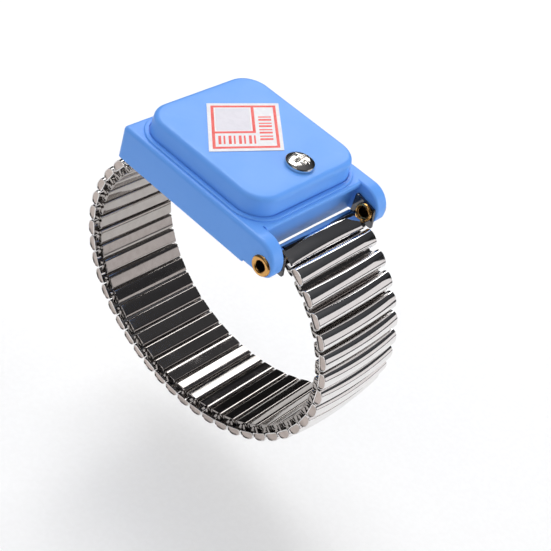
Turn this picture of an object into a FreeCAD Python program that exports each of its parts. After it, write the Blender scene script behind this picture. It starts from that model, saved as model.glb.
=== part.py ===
import FreeCAD, Part
import math
import os
import re
import Sketcher

from FreeCAD import Placement, Rotation, Vector

# Cordless wrist strap: a two-part plastic case on a closed expansion band of steel sleeves.
# +X runs along the band over the case, +Y across it, +Z out of the skin.  The origin is the
# centre of the back plate's skin face.  Millimetres.

DIMENSIONS = (
    # case, seen from above: a left part with the hidden pin, a middle with the plate, two lugs
    ("case_length", 31.6), ("case_width", 31.0), ("base_height", 6.46),
    ("floor_thickness", 1.5), ("cavity_end_wall", 2.3), ("cavity_side_wall", 4.3),
    ("cavity_wall_left", 1.5), ("edge_radius", 0.8), ("end_corner_radius", 0.9),
    ("lug_edge_radius", 0.5), ("lug_root", 3.0),
    ("recess_length", 7.5), ("recess_height", 4.1), ("recess_clearance", 0.55),
    ("pin_wall", 1.6),
    # lugs at the right end, with a hollow eyelet through each
    ("lug_length", 6.1), ("lug_thickness", 3.1), ("lug_top_radius", 4.2),
    ("lug_bottom_radius", 1.8), ("brow_length", 0.9), ("brow_height", 1.0),
    ("eyelet_inset", 2.25), ("eyelet_rise", 2.18), ("eyelet_barrel_radius", 1.25),
    ("eyelet_bore_radius", 0.95),
    ("eyelet_flange_radius", 1.95), ("eyelet_inner_radius", 1.75),
    ("eyelet_flange_height", 0.4),
    # cover
    ("cover_height", 3.89), ("cover_side_margin", 1.9), ("cover_left_margin", 1.6),
    ("cover_right_margin", 0.77), ("cover_corner_radius", 5.0), ("cover_edge_radius", 1.0),
    ("cover_wall", 1.5), ("cover_top", 1.5), ("skirt_depth", 1.0), ("skirt_wall", 1.0),
    ("skirt_clearance", 0.1),
    ("rim_gap", 0.15), ("rim_width", 0.8), ("rim_height", 0.35), ("rim_edge_radius", 0.25),
    # skin plate
    ("plate_thickness", 0.45), ("plate_width", 22.0), ("plate_left_gap", 1.1),
    ("plate_right_gap", 2.0), ("plate_tab_height", 1.2), ("plate_tab_width", 4.0),
    ("plate_tab_inset", 1.6), ("slot_clearance", 0.05),
    # terminal screw, nut, ring terminal, resistor, contact strip
    ("screw_inset", 4.8), ("screw_offset", 1.0), ("screw_head_radius", 2.65),
    ("screw_head_height", 1.25), ("screw_head_round", 0.8), ("screw_radius", 1.5),
    ("screw_length", 8.0), ("screw_clearance", 0.1), ("screw_overlap", 0.2),
    ("nut_below_tip", 0.2), ("cross_length", 2.6),
    ("cross_width", 0.55), ("cross_depth", 0.8), ("thread_clearance", 0.02),
    ("nut_flats", 5.5), ("nut_height", 2.4), ("nut_clearance", 0.05), ("boss_radius", 4.0),
    ("post_radius", 2.9), ("ring_radius", 2.9), ("ring_thickness", 0.5),
    ("crimp_length", 2.0), ("crimp_radius", 0.75), ("crimp_gap", 1.3),
    ("crimp_bore_short", 0.4), ("lead_in_crimp", 1.2), ("lead_past_strip", 0.3),
    ("resistor_length", 3.6), ("resistor_radius", 0.7), ("resistor_end_radius", 0.85),
    ("resistor_end_length", 0.7), ("lead_radius", 0.28), ("lead_clearance", 0.02),
    ("strip_thickness", 0.4), ("strip_width", 3.0), ("strip_inset", 0.8),
    ("strip_above_lead", 0.55),
    # label
    ("label_thickness", 0.12), ("label_long", 22.3), ("label_short", 16.7),
    ("label_turn", 11.0), ("label_x", -5.2), ("label_y", -0.3),
    # end brackets and the left hinge pin
    ("ear_thickness", 0.6), ("ear_clearance", 0.15), ("running_clearance", 0.04),
    ("tab_length", 3.1), ("tab_height", 0.9), ("tab_side", 0.35), ("tab_end_height", 0.6),
    ("tab_back", 0.75), ("tab_drop", 0.4), ("web_thickness", 0.4), ("web_inset", 0.3),
    ("web_front", 0.6), ("filler_inset", 0.6), ("filler_end_inset", 1.0), ("joint_overlap", 0.1),
    ("ear_back", 2.8), ("ear_front", 2.5), ("ear_above", 2.4), ("ear_below", 2.3),
    ("ear_shoulder", 1.8), ("ear_shoulder_drop", 0.9),
    ("pin_radius", 0.75), ("pin_inset", 5.1), ("pin_rise", 2.05), ("knuckle_wall", 0.6),
    ("strap_thickness", 0.8),
    # band: sleeves across it, staggered in two rows and tied by staples
    ("band_width", 20.1), ("sleeve_width", 3.25), ("sleeve_side", 1.15),
    ("sleeve_crown", 2.3), ("sleeve_end_height", 1.65), ("sleeve_wall", 0.22),
    ("notch_height", 0.37), ("notch_past_web", 0.1),
    ("inner_width", 2.9), ("inner_height", 1.2), ("inner_wall", 0.2), ("row_gap", 0.25),
    ("closed_gap", 0.12), ("worn_gap", 0.7), ("worn_links", 8.0), ("links_per_side", 19.0),
    ("staple_radius", 0.2), ("staple_leg", 2.0), ("staple_web", 0.3), ("staple_inset", 0.35),
    ("staple_clearance", 0.05), ("leg_rise", 0.45),
    ("sleeve_leg_offset", 0.75), ("fixed_leg_offset", 1.02), ("sliding_leg_offset", 0.33),
    ("leaf_thickness", 0.12), ("leaf_width", 2.3), ("leaf_length", 14.0), ("leaf_gap", 0.03),
    # loop: a flattened ellipse from the right bracket, under the wrist, to the left one
    ("loop_aspect", 1.182), ("right_start_out", 1.85), ("right_start_drop", 1.69),
    ("left_start_drop", 3.1), ("left_start_out", 1.56),
)

# values that follow from the sheet: name and expression
LAYOUT = (
    ("plate_length", "case_length - recess_length - plate_left_gap - plate_right_gap"),
    ("case_left", "-plate_length/2 - plate_left_gap - recess_length"),
    ("case_right", "plate_length/2 + plate_right_gap"),
    ("lug_end", "case_right + lug_length"),
    ("base_top", "plate_thickness + base_height"),
    ("cover_under", "base_top + cover_height - cover_top"),
    ("cover_left", "case_left + cover_left_margin"),
    ("cover_right", "case_right - cover_right_margin"),
    ("cover_span", "case_width - 2*cover_side_margin"),
    ("lug_inner", "case_width/2 - lug_thickness"),
    ("cavity_left", "case_left + recess_length + cavity_wall_left"),
    ("cavity_right", "case_right - cavity_end_wall"),
    ("cavity_span", "case_width - 2*cavity_side_wall"),
    ("floor_top", "plate_thickness + floor_thickness"),
    ("eyelet_x", "lug_end - eyelet_inset"),
    ("eyelet_z", "plate_thickness + eyelet_rise"),
    ("screw_x", "cover_right - screw_inset"),
    ("screw_tip", "base_top + cover_height - screw_length"),
    ("nut_under", "screw_tip - nut_below_tip"),
    ("ring_under", "nut_under + nut_height"),
    ("lead_z", "ring_under + ring_thickness/2"),
    ("crimp_end", "screw_x - ring_radius - crimp_gap - crimp_length"),
    ("strip_x", "cavity_left + strip_inset"),
    ("resistor_x", "(crimp_end + strip_x + strip_thickness)/2"),
    ("ear_outer", "lug_inner - ear_clearance"),
    ("pin_x", "case_left + pin_inset"),
    ("pin_z", "plate_thickness + pin_rise"),
    ("recess_span", "band_width + 2*recess_clearance"),
    ("pin_span", "recess_span + 2*pin_wall"),
    ("inner_half", "band_width/2 - staple_inset - staple_web - staple_clearance"),
)

doc = FreeCAD.newDocument("wrist_strap")
sheet = doc.addObject("Spreadsheet::Sheet", "Dims")
for row, (alias, number) in enumerate(DIMENSIONS, 1):
    sheet.set(f"A{row}", alias)
    sheet.set(f"B{row}", str(number))
    sheet.setAlias(f"B{row}", alias)
doc.recompute()

ALIASES = {alias for alias, number in DIMENSIONS}
DERIVED = {name for name, text in LAYOUT}
PAST = 1.0          # how far a cutting tool runs past the face that it opens
SAME = 1e-6         # two places this close are one
layout = doc.addObject("App::VarSet", "Layout")


def full(text):
    """An expression with each plain name led to its cell or to its layout value."""
    def lead(match):
        word = match.group(0)
        owner = "Dims." if word in ALIASES else "Layout." if word in DERIVED else ""
        return owner + word
    return re.sub(r"[A-Za-z_]\w*", lead, text)


for name, text in LAYOUT:
    layout.addProperty("App::PropertyFloat", name)
    layout.setExpression(name, full(text))
    doc.recompute()


def size(name):
    """The present number behind a cell's alias or a layout name."""
    return getattr(sheet if name in ALIASES else layout, name)


def size_of(text):
    """The number of a sum of aliases, such as "rim_gap + rim_width"."""
    return sum(size(word.strip()) for word in text.split("+"))


def bind(thing, prop, text):
    """Ties a property to an expression in the sheet's and the layout's names."""
    thing.setExpression(prop, full(str(text)))


def put(thing, corner):
    """Ties an object's place to three expressions."""
    for axis, text in zip("xyz", corner):
        bind(thing, f"Placement.Base.{axis}", text)


def box(name, corner, extent):
    """A box from its low corner and its three extents, all expressions."""
    made = doc.addObject("Part::Box", name)
    for prop, text in zip(("Length", "Width", "Height"), extent):
        bind(made, prop, text)
    put(made, corner)
    return made


def centred_box(name, left, length, span, low, height):
    """A box centred across the band."""
    return box(name, (left, f"-({span})/2", low), (length, span, height))


AXES = {"X": Vector(1, 0, 0), "Y": Vector(0, 1, 0), "Z": Vector(0, 0, 1)}


def cylinder(name, axis, start, radius, length):
    """A cylinder along a world axis from its low end."""
    made = doc.addObject("Part::Cylinder", name)
    bind(made, "Radius", radius)
    bind(made, "Height", length)
    made.Placement = Placement(Vector(), Rotation(AXES["Z"], AXES[axis]))
    put(made, start)
    return made


def bore(name, axis, start, radius, length):
    """A cylinder that cuts: it runs past both ends of the length that it opens."""
    place = list(start)
    along = "XYZ".index(axis)
    place[along] = f"{place[along]} - {PAST}"
    return cylinder(name, axis, place, radius, f"{length} + {2 * PAST}")


def cut(name, base, *tools):
    """The base less every tool."""
    tool = tools[0] if len(tools) == 1 else fuse(name + "_tools", *tools)
    made = doc.addObject("Part::Cut", name)
    made.Base, made.Tool = base, tool
    return made


def fuse(name, *shapes):
    """The shapes as one solid."""
    made = doc.addObject("Part::MultiFuse", name)
    made.Shapes = list(shapes)
    made.Refine = True
    return made


def common(name, *shapes):
    """What all the shapes share."""
    made = doc.addObject("Part::MultiCommon", name)
    made.Shapes = list(shapes)
    return made


def rounded(name, base, radius, wanted):
    """Fillets every edge of the base for which wanted(edge) holds."""
    return rounded_by(name, base, size(radius), wanted)


def rounded_by(name, base, radius, wanted):
    """As rounded, with a radius that is a sum of sizes."""
    doc.recompute()
    made = doc.addObject("Part::Fillet", name)
    made.Base = base
    made.Edges = [(n, radius, radius) for n, edge in enumerate(base.Shape.Edges, 1)
                  if wanted(edge)]
    doc.recompute()
    return made


def upright(edge):
    """Whether an edge runs straight up."""
    direction = edge.Vertexes[0].Point - edge.Vertexes[-1].Point
    return abs(direction.x) < SAME and abs(direction.y) < SAME


def in_plane(axis, place):
    """A test for edges whose ends lie in one plane square to an axis."""
    return lambda edge: all(abs(getattr(v.Point, axis) - place) < SAME for v in edge.Vertexes)


def polygon(name, points):
    """A closed sketch in XZ or XY through points given as pairs of expressions."""
    sketch = doc.addObject("Sketcher::SketchObject", name)
    count = len(points)
    spots = [Vector(math.cos(2 * math.pi * n / count), math.sin(2 * math.pi * n / count), 0)
             for n in range(count)]
    for n in range(count):
        sketch.addGeometry(Part.LineSegment(spots[n], spots[(n + 1) % count]))
    for n in range(count):
        sketch.addConstraint(Sketcher.Constraint("Coincident", n, 2, (n + 1) % count, 1))
    for n, (across, up) in enumerate(points):
        for kind, text in (("DistanceX", across), ("DistanceY", up)):
            spot = sketch.addConstraint(Sketcher.Constraint(kind, -1, 1, n, 1, 1.0))
            sketch.setExpression(f"Constraints[{spot}]", full(str(text)))
    return sketch


def extruded(name, sketch, direction, length):
    """A sketch pushed along a direction."""
    made = doc.addObject("Part::Extrusion", name)
    made.Base, made.DirMode, made.Dir, made.Solid = sketch, "Custom", direction, True
    bind(made, "LengthFwd", length)
    return made


nodes = {}


def node(label, thing):
    """Marks an object as one finished sub-part."""
    thing.Label = label
    nodes[label] = thing
    return thing


# ---- base housing -------------------------------------------------------------------------

def lug(name, low, outer):
    """One lug, from its low side to its outer face: round tips and softened rims."""
    slab = box(name + "_slab", ("case_right - lug_root", low, "plate_thickness"),
               ("lug_length + lug_root", "lug_thickness", "base_height"))
    root = in_plane("x", size("case_right") - size("lug_root"))
    foot = in_plane("z", size("plate_thickness"))
    end = in_plane("x", size("lug_end"))
    top = rounded(name + "_top", slab, "lug_top_radius",
                  lambda edge: end(edge) and in_plane("z", size("base_top"))(edge))
    tipped = rounded(name + "_tip", top, "lug_bottom_radius",
                     lambda edge: end(edge) and foot(edge))

    def rim(place):
        face = in_plane("y", place)
        return lambda edge: face(edge) and not root(edge) and not foot(edge)

    side = 1 if outer > 0 else -1
    soft = rounded(name + "_outer", tipped, "edge_radius", rim(outer))
    return rounded(name, soft, "lug_edge_radius", rim(outer - side * size("lug_thickness")))


def ring_round_cover(name, inner, wall, low, height):
    """An upright ring round the cover's outline, `inner` outside it and `wall` wide."""
    def slab(word, margin, foot, rise):
        block = centred_box(f"{name}_{word}", f"cover_left - ({margin})",
                            f"cover_right - cover_left + 2*({margin})",
                            f"cover_span + 2*({margin})", foot, rise)
        return rounded_by(f"{name}_{word}_soft", block,
                          size("cover_corner_radius") + size_of(margin), upright)
    outer = slab("outer", f"{inner} + {wall}", low, height)
    soft = rounded(f"{name}_top", outer, "rim_edge_radius",
                   in_plane("z", outer.Shape.BoundBox.ZMax))
    return cut(name, soft, slab("inner", inner, f"{low} - {PAST}", f"{height} + {2 * PAST}"))


def base_housing():
    """The base: block, brow and lugs, with a rim round the cover, hollows, seats and slots."""
    block = centred_box("base_block", "case_left", "case_length", "case_width",
                        "plate_thickness", "base_height")
    end, lid = in_plane("x", size("case_left")), in_plane("z", size("base_top"))
    squared = rounded("base_corners", block, "end_corner_radius",
                      lambda edge: upright(edge) and end(edge))
    right_end = in_plane("x", size("case_right"))
    soft = rounded("base_soft", squared, "edge_radius",
                   lambda edge: lid(edge) and not right_end(edge))
    brow = centred_box("brow_block", "case_right - lug_root", "brow_length + lug_root",
                       "2*lug_inner", "base_top - brow_height", "brow_height")
    nose = in_plane("x", size("case_right") + size("brow_length"))
    brow_soft = rounded("brow", brow, "lug_edge_radius", lambda edge: lid(edge) and nose(edge))
    half = size("case_width") / 2
    shell = fuse("base_shell", soft, brow_soft, lug("near_lug", "-case_width/2", -half),
                 lug("far_lug", "lug_inner", half))
    rim = ring_round_cover("rim", "rim_gap", "rim_width", "base_top - rim_height",
                           "2*rim_height")
    cavity = centred_box("cavity", "cavity_left", "cavity_right - cavity_left", "cavity_span",
                         "floor_top", "base_height + rim_height")
    recess = centred_box("recess", f"case_left - {PAST}", f"recess_length + {PAST}",
                         "recess_span", f"plate_thickness - {PAST}", f"recess_height + {PAST}")
    pin_seat = cylinder("pin_seat", "Y", ("pin_x", "-pin_span/2", "pin_z"), "pin_radius",
                        "pin_span")
    eyelet_holes = bore("eyelet_holes", "Y", ("eyelet_x", "-case_width/2", "eyelet_z"),
                        "eyelet_barrel_radius", "case_width")
    slots = [box(f"tab_slot_{side}", (x, "-plate_tab_width/2 - slot_clearance",
                                      f"plate_thickness - {PAST}"),
                 ("plate_thickness + 2*slot_clearance", "plate_tab_width + 2*slot_clearance",
                  f"plate_tab_height + {PAST} + slot_clearance"))
             for side, x in (("left", "-plate_length/2 + plate_tab_inset - slot_clearance"),
                             ("right", "plate_length/2 - plate_tab_inset - plate_thickness"
                                       " - slot_clearance"))]
    strip_slot = box("strip_slot", ("strip_x - slot_clearance",
                                    "screw_offset - strip_width/2 - slot_clearance",
                                    f"plate_thickness - {PAST}"),
                     ("strip_thickness + 2*slot_clearance", "strip_width + 2*slot_clearance",
                      f"floor_thickness + {2 * PAST}"))
    hollowed = cut("base_hollowed", fuse("base_rimmed", shell, rim), cavity, recess, pin_seat,
                   eyelet_holes)
    boss = cylinder("boss", "Z", ("screw_x", "screw_offset", "plate_thickness"),
                    "boss_radius", "ring_under - plate_thickness")
    pocket = nut_prism("nut_pocket", "nut_flats/2 + nut_clearance", f"nut_height + {PAST}")
    bossed = fuse("base_bossed", hollowed, boss)
    return node("base_housing", cut("base_housing", bossed, pocket, strip_slot, *slots))


def nut_prism(name, inradius, height):
    made = doc.addObject("Part::Prism", name)
    made.Polygon = 6
    bind(made, "Circumradius", f"({inradius})/cos(30)")
    bind(made, "Height", height)
    put(made, ("screw_x", "screw_offset", "nut_under"))
    return made


# ---- cover and label ----------------------------------------------------------------------

def top_cover():
    length = "cover_right - cover_left"
    block = centred_box("cover_block", "cover_left", length, "cover_span", "base_top",
                        "cover_height")
    turned = rounded("cover_corners", block, "cover_corner_radius", upright)
    soft = rounded("cover_soft", turned, "cover_edge_radius",
                   in_plane("z", size("base_top") + size("cover_height")))
    room = centred_box("cover_room", "cover_left + cover_wall", f"{length} - 2*cover_wall",
                       "cover_span - 2*cover_wall", f"base_top - {PAST}",
                       f"cover_under - base_top + {PAST}")
    post = cylinder("cover_post", "Z", ("screw_x", "screw_offset", "ring_under + ring_thickness"),
                    "post_radius", "cover_under - ring_under - ring_thickness")
    skirt_left, skirt_right = "cavity_left + skirt_clearance", "cavity_right - skirt_clearance"
    skirt_span = "cavity_span - 2*skirt_clearance"
    skirt = cut("skirt", centred_box("skirt_outer", skirt_left,
                                     f"{skirt_right} - ({skirt_left})", skirt_span,
                                     "base_top - skirt_depth",
                                     "cover_under - base_top + skirt_depth"),
                centred_box("skirt_inner", f"{skirt_left} + skirt_wall",
                            f"{skirt_right} - ({skirt_left}) - 2*skirt_wall",
                            f"{skirt_span} - 2*skirt_wall",
                            f"base_top - skirt_depth - {PAST}",
                            f"cover_under - base_top + skirt_depth + {PAST}"))
    solid = fuse("cover_solid", cut("cover_shell", soft, room), post, skirt)
    hole = cylinder("cover_hole", "Z", ("screw_x", "screw_offset", "ring_under"),
                    "screw_radius + screw_clearance", "base_height + cover_height")
    return node("top_cover", cut("top_cover", solid, hole))


def label():
    corners = (("label_short/2", "0"), ("0", "label_long/2"), ("-label_short/2", "0"),
               ("0", "-label_long/2"))
    made = extruded("label", polygon("label_outline", corners), Vector(0, 0, 1),
                    "label_thickness")
    made.Placement = Placement(Vector(), Rotation(Vector(0, 0, 1), size("label_turn")))
    put(made, ("label_x", "label_y", "base_top + cover_height"))
    return node("label", made)


# ---- skin plate and the parts on the screw ------------------------------------------------

def back_plate():
    sheet_part = centred_box("plate_sheet", "-plate_length/2", "plate_length", "plate_width",
                             "0", "plate_thickness")
    tabs = [centred_box(f"plate_tab_{side}", x, "plate_thickness", "plate_tab_width",
                        "plate_thickness/2", "plate_thickness/2 + plate_tab_height")
            for side, x in (("left", "-plate_length/2 + plate_tab_inset"),
                            ("right", "plate_length/2 - plate_tab_inset - plate_thickness"))]
    return node("back_plate", fuse("back_plate", sheet_part, *tabs))


def terminal_screw():
    top = "base_top + cover_height"
    head = cylinder("screw_head", "Z", ("screw_x", "screw_offset", top), "screw_head_radius",
                    "screw_head_height")
    crown = size("base_top") + size("cover_height") + size("screw_head_height")
    domed = rounded("screw_dome", head, "screw_head_round", in_plane("z", crown))
    shank = cylinder("screw_shank", "Z", ("screw_x", "screw_offset", "screw_tip"),
                     "screw_radius", "screw_length + screw_overlap")
    low = f"{top} + screw_head_height - cross_depth"
    arms = [box(f"cross_{way}", (f"screw_x - ({along})/2", f"screw_offset - ({across})/2", low),
                (along, across, f"cross_depth + {PAST}"))
            for way, along, across in (("long", "cross_length", "cross_width"),
                                       ("wide", "cross_width", "cross_length"))]
    return node("terminal_screw", cut("terminal_screw", fuse("screw_body", domed, shank), *arms))


def screw_nut():
    blank = nut_prism("nut_blank", "nut_flats/2", "nut_height")
    thread = bore("nut_bore", "Z", ("screw_x", "screw_offset", "nut_under"),
                  "screw_radius + thread_clearance", "nut_height")
    return node("screw_nut", cut("screw_nut", blank, thread))


def ring_terminal():
    ring = cylinder("ring_disc", "Z", ("screw_x", "screw_offset", "ring_under"), "ring_radius",
                    "ring_thickness")
    neck = box("ring_neck", ("crimp_end", "screw_offset - crimp_radius", "ring_under"),
               ("screw_x - crimp_end", "2*crimp_radius", "ring_thickness"))
    crimp = cylinder("crimp", "X", ("crimp_end", "screw_offset", "lead_z"), "crimp_radius",
                     "crimp_length")
    eye = bore("ring_eye", "Z", ("screw_x", "screw_offset", "ring_under"),
               "screw_radius + screw_clearance", "ring_thickness")
    wire_hole = cylinder("crimp_bore", "X", (f"crimp_end - {PAST}", "screw_offset", "lead_z"),
                         "lead_radius + lead_clearance",
                         f"{PAST} + crimp_length - crimp_bore_short")
    return node("ring_terminal", cut("ring_terminal", fuse("ring_solid", ring, neck, crimp),
                                     eye, wire_hole))


def resistor():
    left = "resistor_x - resistor_length/2"
    core = cylinder("resistor_core", "X", (left, "screw_offset", "lead_z"), "resistor_radius",
                    "resistor_length")
    ends = [cylinder(f"resistor_{side}", "X", (x, "screw_offset", "lead_z"),
                     "resistor_end_radius", "resistor_end_length")
            for side, x in (("left_end", left),
                            ("right_end", "resistor_x + resistor_length/2"
                                          " - resistor_end_length"))]
    node("resistor_body", fuse("resistor_body", core, *ends))
    strip_lead = cylinder("strip_lead", "X", ("strip_x - lead_past_strip", "screw_offset",
                                              "lead_z"),
                          "lead_radius", f"{left} - strip_x + lead_past_strip")
    ring_lead = cylinder("ring_lead", "X", ("resistor_x + resistor_length/2", "screw_offset",
                                            "lead_z"), "lead_radius",
                         "crimp_end + lead_in_crimp - resistor_x - resistor_length/2")
    leads = doc.addObject("Part::Compound", "resistor_leads")
    leads.Links = [strip_lead, ring_lead]
    node("resistor_leads", leads)


def contact_strip():
    strip = box("strip_blank", ("strip_x", "screw_offset - strip_width/2", "plate_thickness"),
                ("strip_thickness", "strip_width", "lead_z + strip_above_lead - plate_thickness"))
    hole = bore("strip_hole", "X", ("strip_x", "screw_offset", "lead_z"),
                "lead_radius + lead_clearance", "strip_thickness")
    return node("contact_strip", cut("contact_strip", strip, hole))


# ---- eyelets, brackets and the left pin ---------------------------------------------------

def eyelet(name, side):
    """A hollow rivet through one lug and one ear; side is +1 at the far lug."""
    start = {-1: "-case_width/2 - eyelet_flange_height", 1: "ear_outer - ear_thickness"
             " - eyelet_flange_height - running_clearance"}[side]
    length = ("case_width/2 - ear_outer + ear_thickness + 2*eyelet_flange_height"
              " + running_clearance")
    outer_flange = {-1: start, 1: "case_width/2"}[side]
    inner_flange = {-1: "-ear_outer + ear_thickness + running_clearance", 1: start}[side]
    flanges = [cylinder(f"{name}_{part}", "Y", ("eyelet_x", y, "eyelet_z"), radius,
                        "eyelet_flange_height")
               for part, y, radius in (("outer_flange", outer_flange, "eyelet_flange_radius"),
                                       ("inner_flange", inner_flange,
                                        "eyelet_inner_radius"))]
    barrel = cylinder(name + "_barrel", "Y", ("eyelet_x", start, "eyelet_z"),
                      "eyelet_barrel_radius", length)
    hole = bore(name + "_bore", "Y", ("eyelet_x", start, "eyelet_z"), "eyelet_bore_radius",
                length)
    return node(name, cut(name, fuse(name + "_solid", barrel, *flanges), hole))


def ear(name, low):
    """A folded side of the right bracket, beside a lug."""
    outline = (("eyelet_x - ear_back", "eyelet_z + ear_above"),
               ("eyelet_x + ear_shoulder", "eyelet_z + ear_above - ear_shoulder_drop"),
               ("eyelet_x + ear_front", "eyelet_z - ear_below"),
               ("eyelet_x - ear_back", "eyelet_z - ear_below"))
    made = extruded(name, polygon(name + "_outline", outline), Vector(0, -1, 0), "ear_thickness")
    made.Base.Placement = Placement(Vector(), Rotation(Vector(1, 0, 0), 90))
    bind(made, "Placement.Base.y", f"{low} + ear_thickness")
    return made


class Station:
    """A place on the band: a point of the loop, its running direction and outward normal."""

    def __init__(self, x, z, run_x, run_z, side):
        self.x, self.z, self.run = x, z, (run_x, run_z)
        # the right chain runs down with outward on its left hand, the left chain mirrors it
        self.out = (-run_z * side, run_x * side)
        self.side = side

    def point(self, along, out):
        return (self.x + along * self.run[0] + out * self.out[0],
                self.z + along * self.run[1] + out * self.out[1])

    def local(self, spot):
        dx, dz = spot[0] - self.x, spot[1] - self.z
        return (dx * self.run[0] + dz * self.run[1], dx * self.out[0] + dz * self.out[1])

    def placement(self):
        run = Vector(self.run[0], 0, self.run[1])
        out = Vector(self.out[0], 0, self.out[1])
        turn = Rotation(run, out.cross(run), out, "ZXY")
        return Placement(Vector(self.x, 0, self.z), turn)


def loop_curve(half_width, samples=4000):
    """The loop between the two brackets as (arc length, x, z), for one ellipse half width."""
    aspect = size("loop_aspect")
    right = (size("eyelet_x") + size("right_start_out"),
             (size("eyelet_z") - size("right_start_drop")) * aspect)
    left = (size("pin_x") - size("left_start_out"),
            (size("pin_z") - size("left_start_drop")) * aspect)
    middle = ((right[0] + left[0]) / 2, (right[1] + left[1]) / 2)
    chord = math.hypot(right[0] - left[0], right[1] - left[1])
    reach = math.sqrt(half_width ** 2 - chord ** 2 / 4)
    centre = (middle[0] + reach * (right[1] - left[1]) / chord,
              middle[1] - reach * (right[0] - left[0]) / chord)
    start = math.atan2(right[1] - centre[1], right[0] - centre[0])
    stop = math.atan2(left[1] - centre[1], left[0] - centre[0])
    sweep = (stop - start) % (2 * math.pi) - 2 * math.pi
    rows, length, last = [], 0.0, None
    for n in range(samples + 1):
        angle = start + sweep * n / samples
        x = centre[0] + half_width * math.cos(angle)
        z = (centre[1] + half_width * math.sin(angle)) / aspect
        if last:
            length += math.hypot(x - last[0], z - last[1])
        last = (x, z)
        rows.append((length, x, z))
    return rows


def band_gaps():
    """Gap before each sleeve of a side, from the bracket down; worn open near the case."""
    return [size("closed_gap") + max(0.0, size("worn_gap") * (1 - n / size("worn_links")))
            for n in range(int(size("links_per_side")))]


def band_stations():
    """Stations of the sleeves and of the gaps between them, for the right and left chains."""
    gaps, width = band_gaps(), size("sleeve_width")
    side_length = gaps[0] / 2 + sum(gaps[1:]) + len(gaps) * width + size("closed_gap") / 2
    low, high = 20.0, 80.0
    while high - low > 1e-9:
        trial = (low + high) / 2
        if loop_curve(trial)[-1][0] < 2 * side_length:
            low = trial
        else:
            high = trial
    rows = loop_curve(low)

    def at(length, side):
        """side +1 measures from the right bracket, -1 from the left one."""
        wanted = length if side > 0 else rows[-1][0] - length
        n = min(max(1, sum(1 for row in rows if row[0] < wanted)), len(rows) - 1)
        before, after = rows[n - 1], rows[n]
        share = (wanted - before[0]) / (after[0] - before[0])
        dx, dz = (after[1] - before[1]) * side, (after[2] - before[2]) * side
        step = math.hypot(dx, dz)
        return Station(before[1] + share * (after[1] - before[1]),
                       before[2] + share * (after[2] - before[2]), dx / step, dz / step, side)

    chains = {}
    for side, word in ((1, "right"), (-1, "left")):
        sleeves, joints, length = [], [], 0.0
        for n, gap in enumerate(gaps):
            joints.append(at(length, side))
            length += gap / 2 + width / 2
            sleeves.append(at(length, side))
            following = gaps[n + 1] if n + 1 < len(gaps) else size("closed_gap")
            length += width / 2 + following / 2
        joints.append(at(length, side))
        chains[word] = (sleeves, joints)
    return chains


def sleeve_templates():
    """Outer sleeve, inner sleeve and leaf spring, each centred on its own station."""
    def shell(name, inset):
        span = f"band_width + {2 if inset != '0' else 0}"
        body = box(name + "_block", (f"-sleeve_width/2 + {inset}", f"-({span})/2", inset),
                   (f"sleeve_width - 2*{inset}", span, f"sleeve_crown - 2*{inset}"))
        rise = "(sleeve_crown - sleeve_side)"
        round_radius = f"(sleeve_width^2/4 + {rise}^2)/(2*{rise})"
        arch = cylinder(name + "_arch", "Y", ("0", f"-({span})/2",
                                              f"sleeve_crown - {round_radius}"),
                        f"{round_radius} - {inset}", span)
        drop = "(sleeve_crown - sleeve_end_height)"
        crown_radius = f"(band_width^2/4 + {drop}^2)/(2*{drop})"
        crown = cylinder(name + "_crown", "X", ("-sleeve_width", "0",
                                                f"sleeve_crown - {crown_radius}"),
                         f"{crown_radius} - {inset}", "2*sleeve_width")
        return common(name, body, arch, crown)
    notch_span = "staple_inset + staple_web + notch_past_web"
    notches = [box(f"notch_{word}", ("-sleeve_width", y, f"-{PAST}"),
                   ("2*sleeve_width", f"{notch_span} + {PAST}", f"{PAST} + notch_height"))
               for word, y in (("near", f"-band_width/2 - {PAST}"),
                               ("far", f"band_width/2 - ({notch_span})"))]
    outer = cut("outer_sleeve", shell("sleeve_skin", "0"), shell("sleeve_room", "sleeve_wall"),
                *notches)
    inner_low = "-row_gap - inner_height"
    inner = cut("inner_sleeve",
                box("inner_skin", ("-inner_width/2", "-inner_half", inner_low),
                    ("inner_width", "2*inner_half", "inner_height")),
                box("inner_room", ("-inner_width/2 + inner_wall", f"-inner_half - {PAST}",
                                   f"{inner_low} + inner_wall"),
                    ("inner_width - 2*inner_wall", f"2*inner_half + {2 * PAST}",
                     "inner_height - 2*inner_wall")))
    leaf = box("leaf_spring", ("-leaf_width/2", "-leaf_length/2", "sleeve_wall + leaf_gap"),
               ("leaf_width", "leaf_length", "leaf_thickness"))
    doc.recompute()
    return outer.Shape, inner.Shape, leaf.Shape


def staples(first, second):
    """Two U staples, one at each edge of the band, between two points of a link's frame."""
    radius, web, leg = size("staple_radius"), size("staple_web"), size("staple_leg")
    face = size("band_width") / 2 - size("staple_inset")
    span = math.hypot(second[0] - first[0], second[1] - first[1])
    lean = math.degrees(math.atan2(second[0] - first[0], second[1] - first[1]))
    made = []
    for side in (-1, 1):
        start = side * face - (leg + web if side > 0 else 0)
        legs = [Part.makeCylinder(radius, leg + web, Vector(spot[0], start, spot[1]),
                                  Vector(0, 1, 0)) for spot in (first, second)]
        low = side * face - (web if side > 0 else 0)
        bar = Part.makeBox(2 * radius, web, span, Vector(-radius, low, 0))
        bar.Placement = Placement(Vector(first[0], 0, first[1]),
                                  Rotation(Vector(0, 1, 0), lean))
        made.append(legs[0].fuse([legs[1], bar]).removeSplitter())
    return made


FLEX_GAPS = (5, 10, 15)     # gaps whose inner sleeve turns on its staple and lets the band bend


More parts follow.
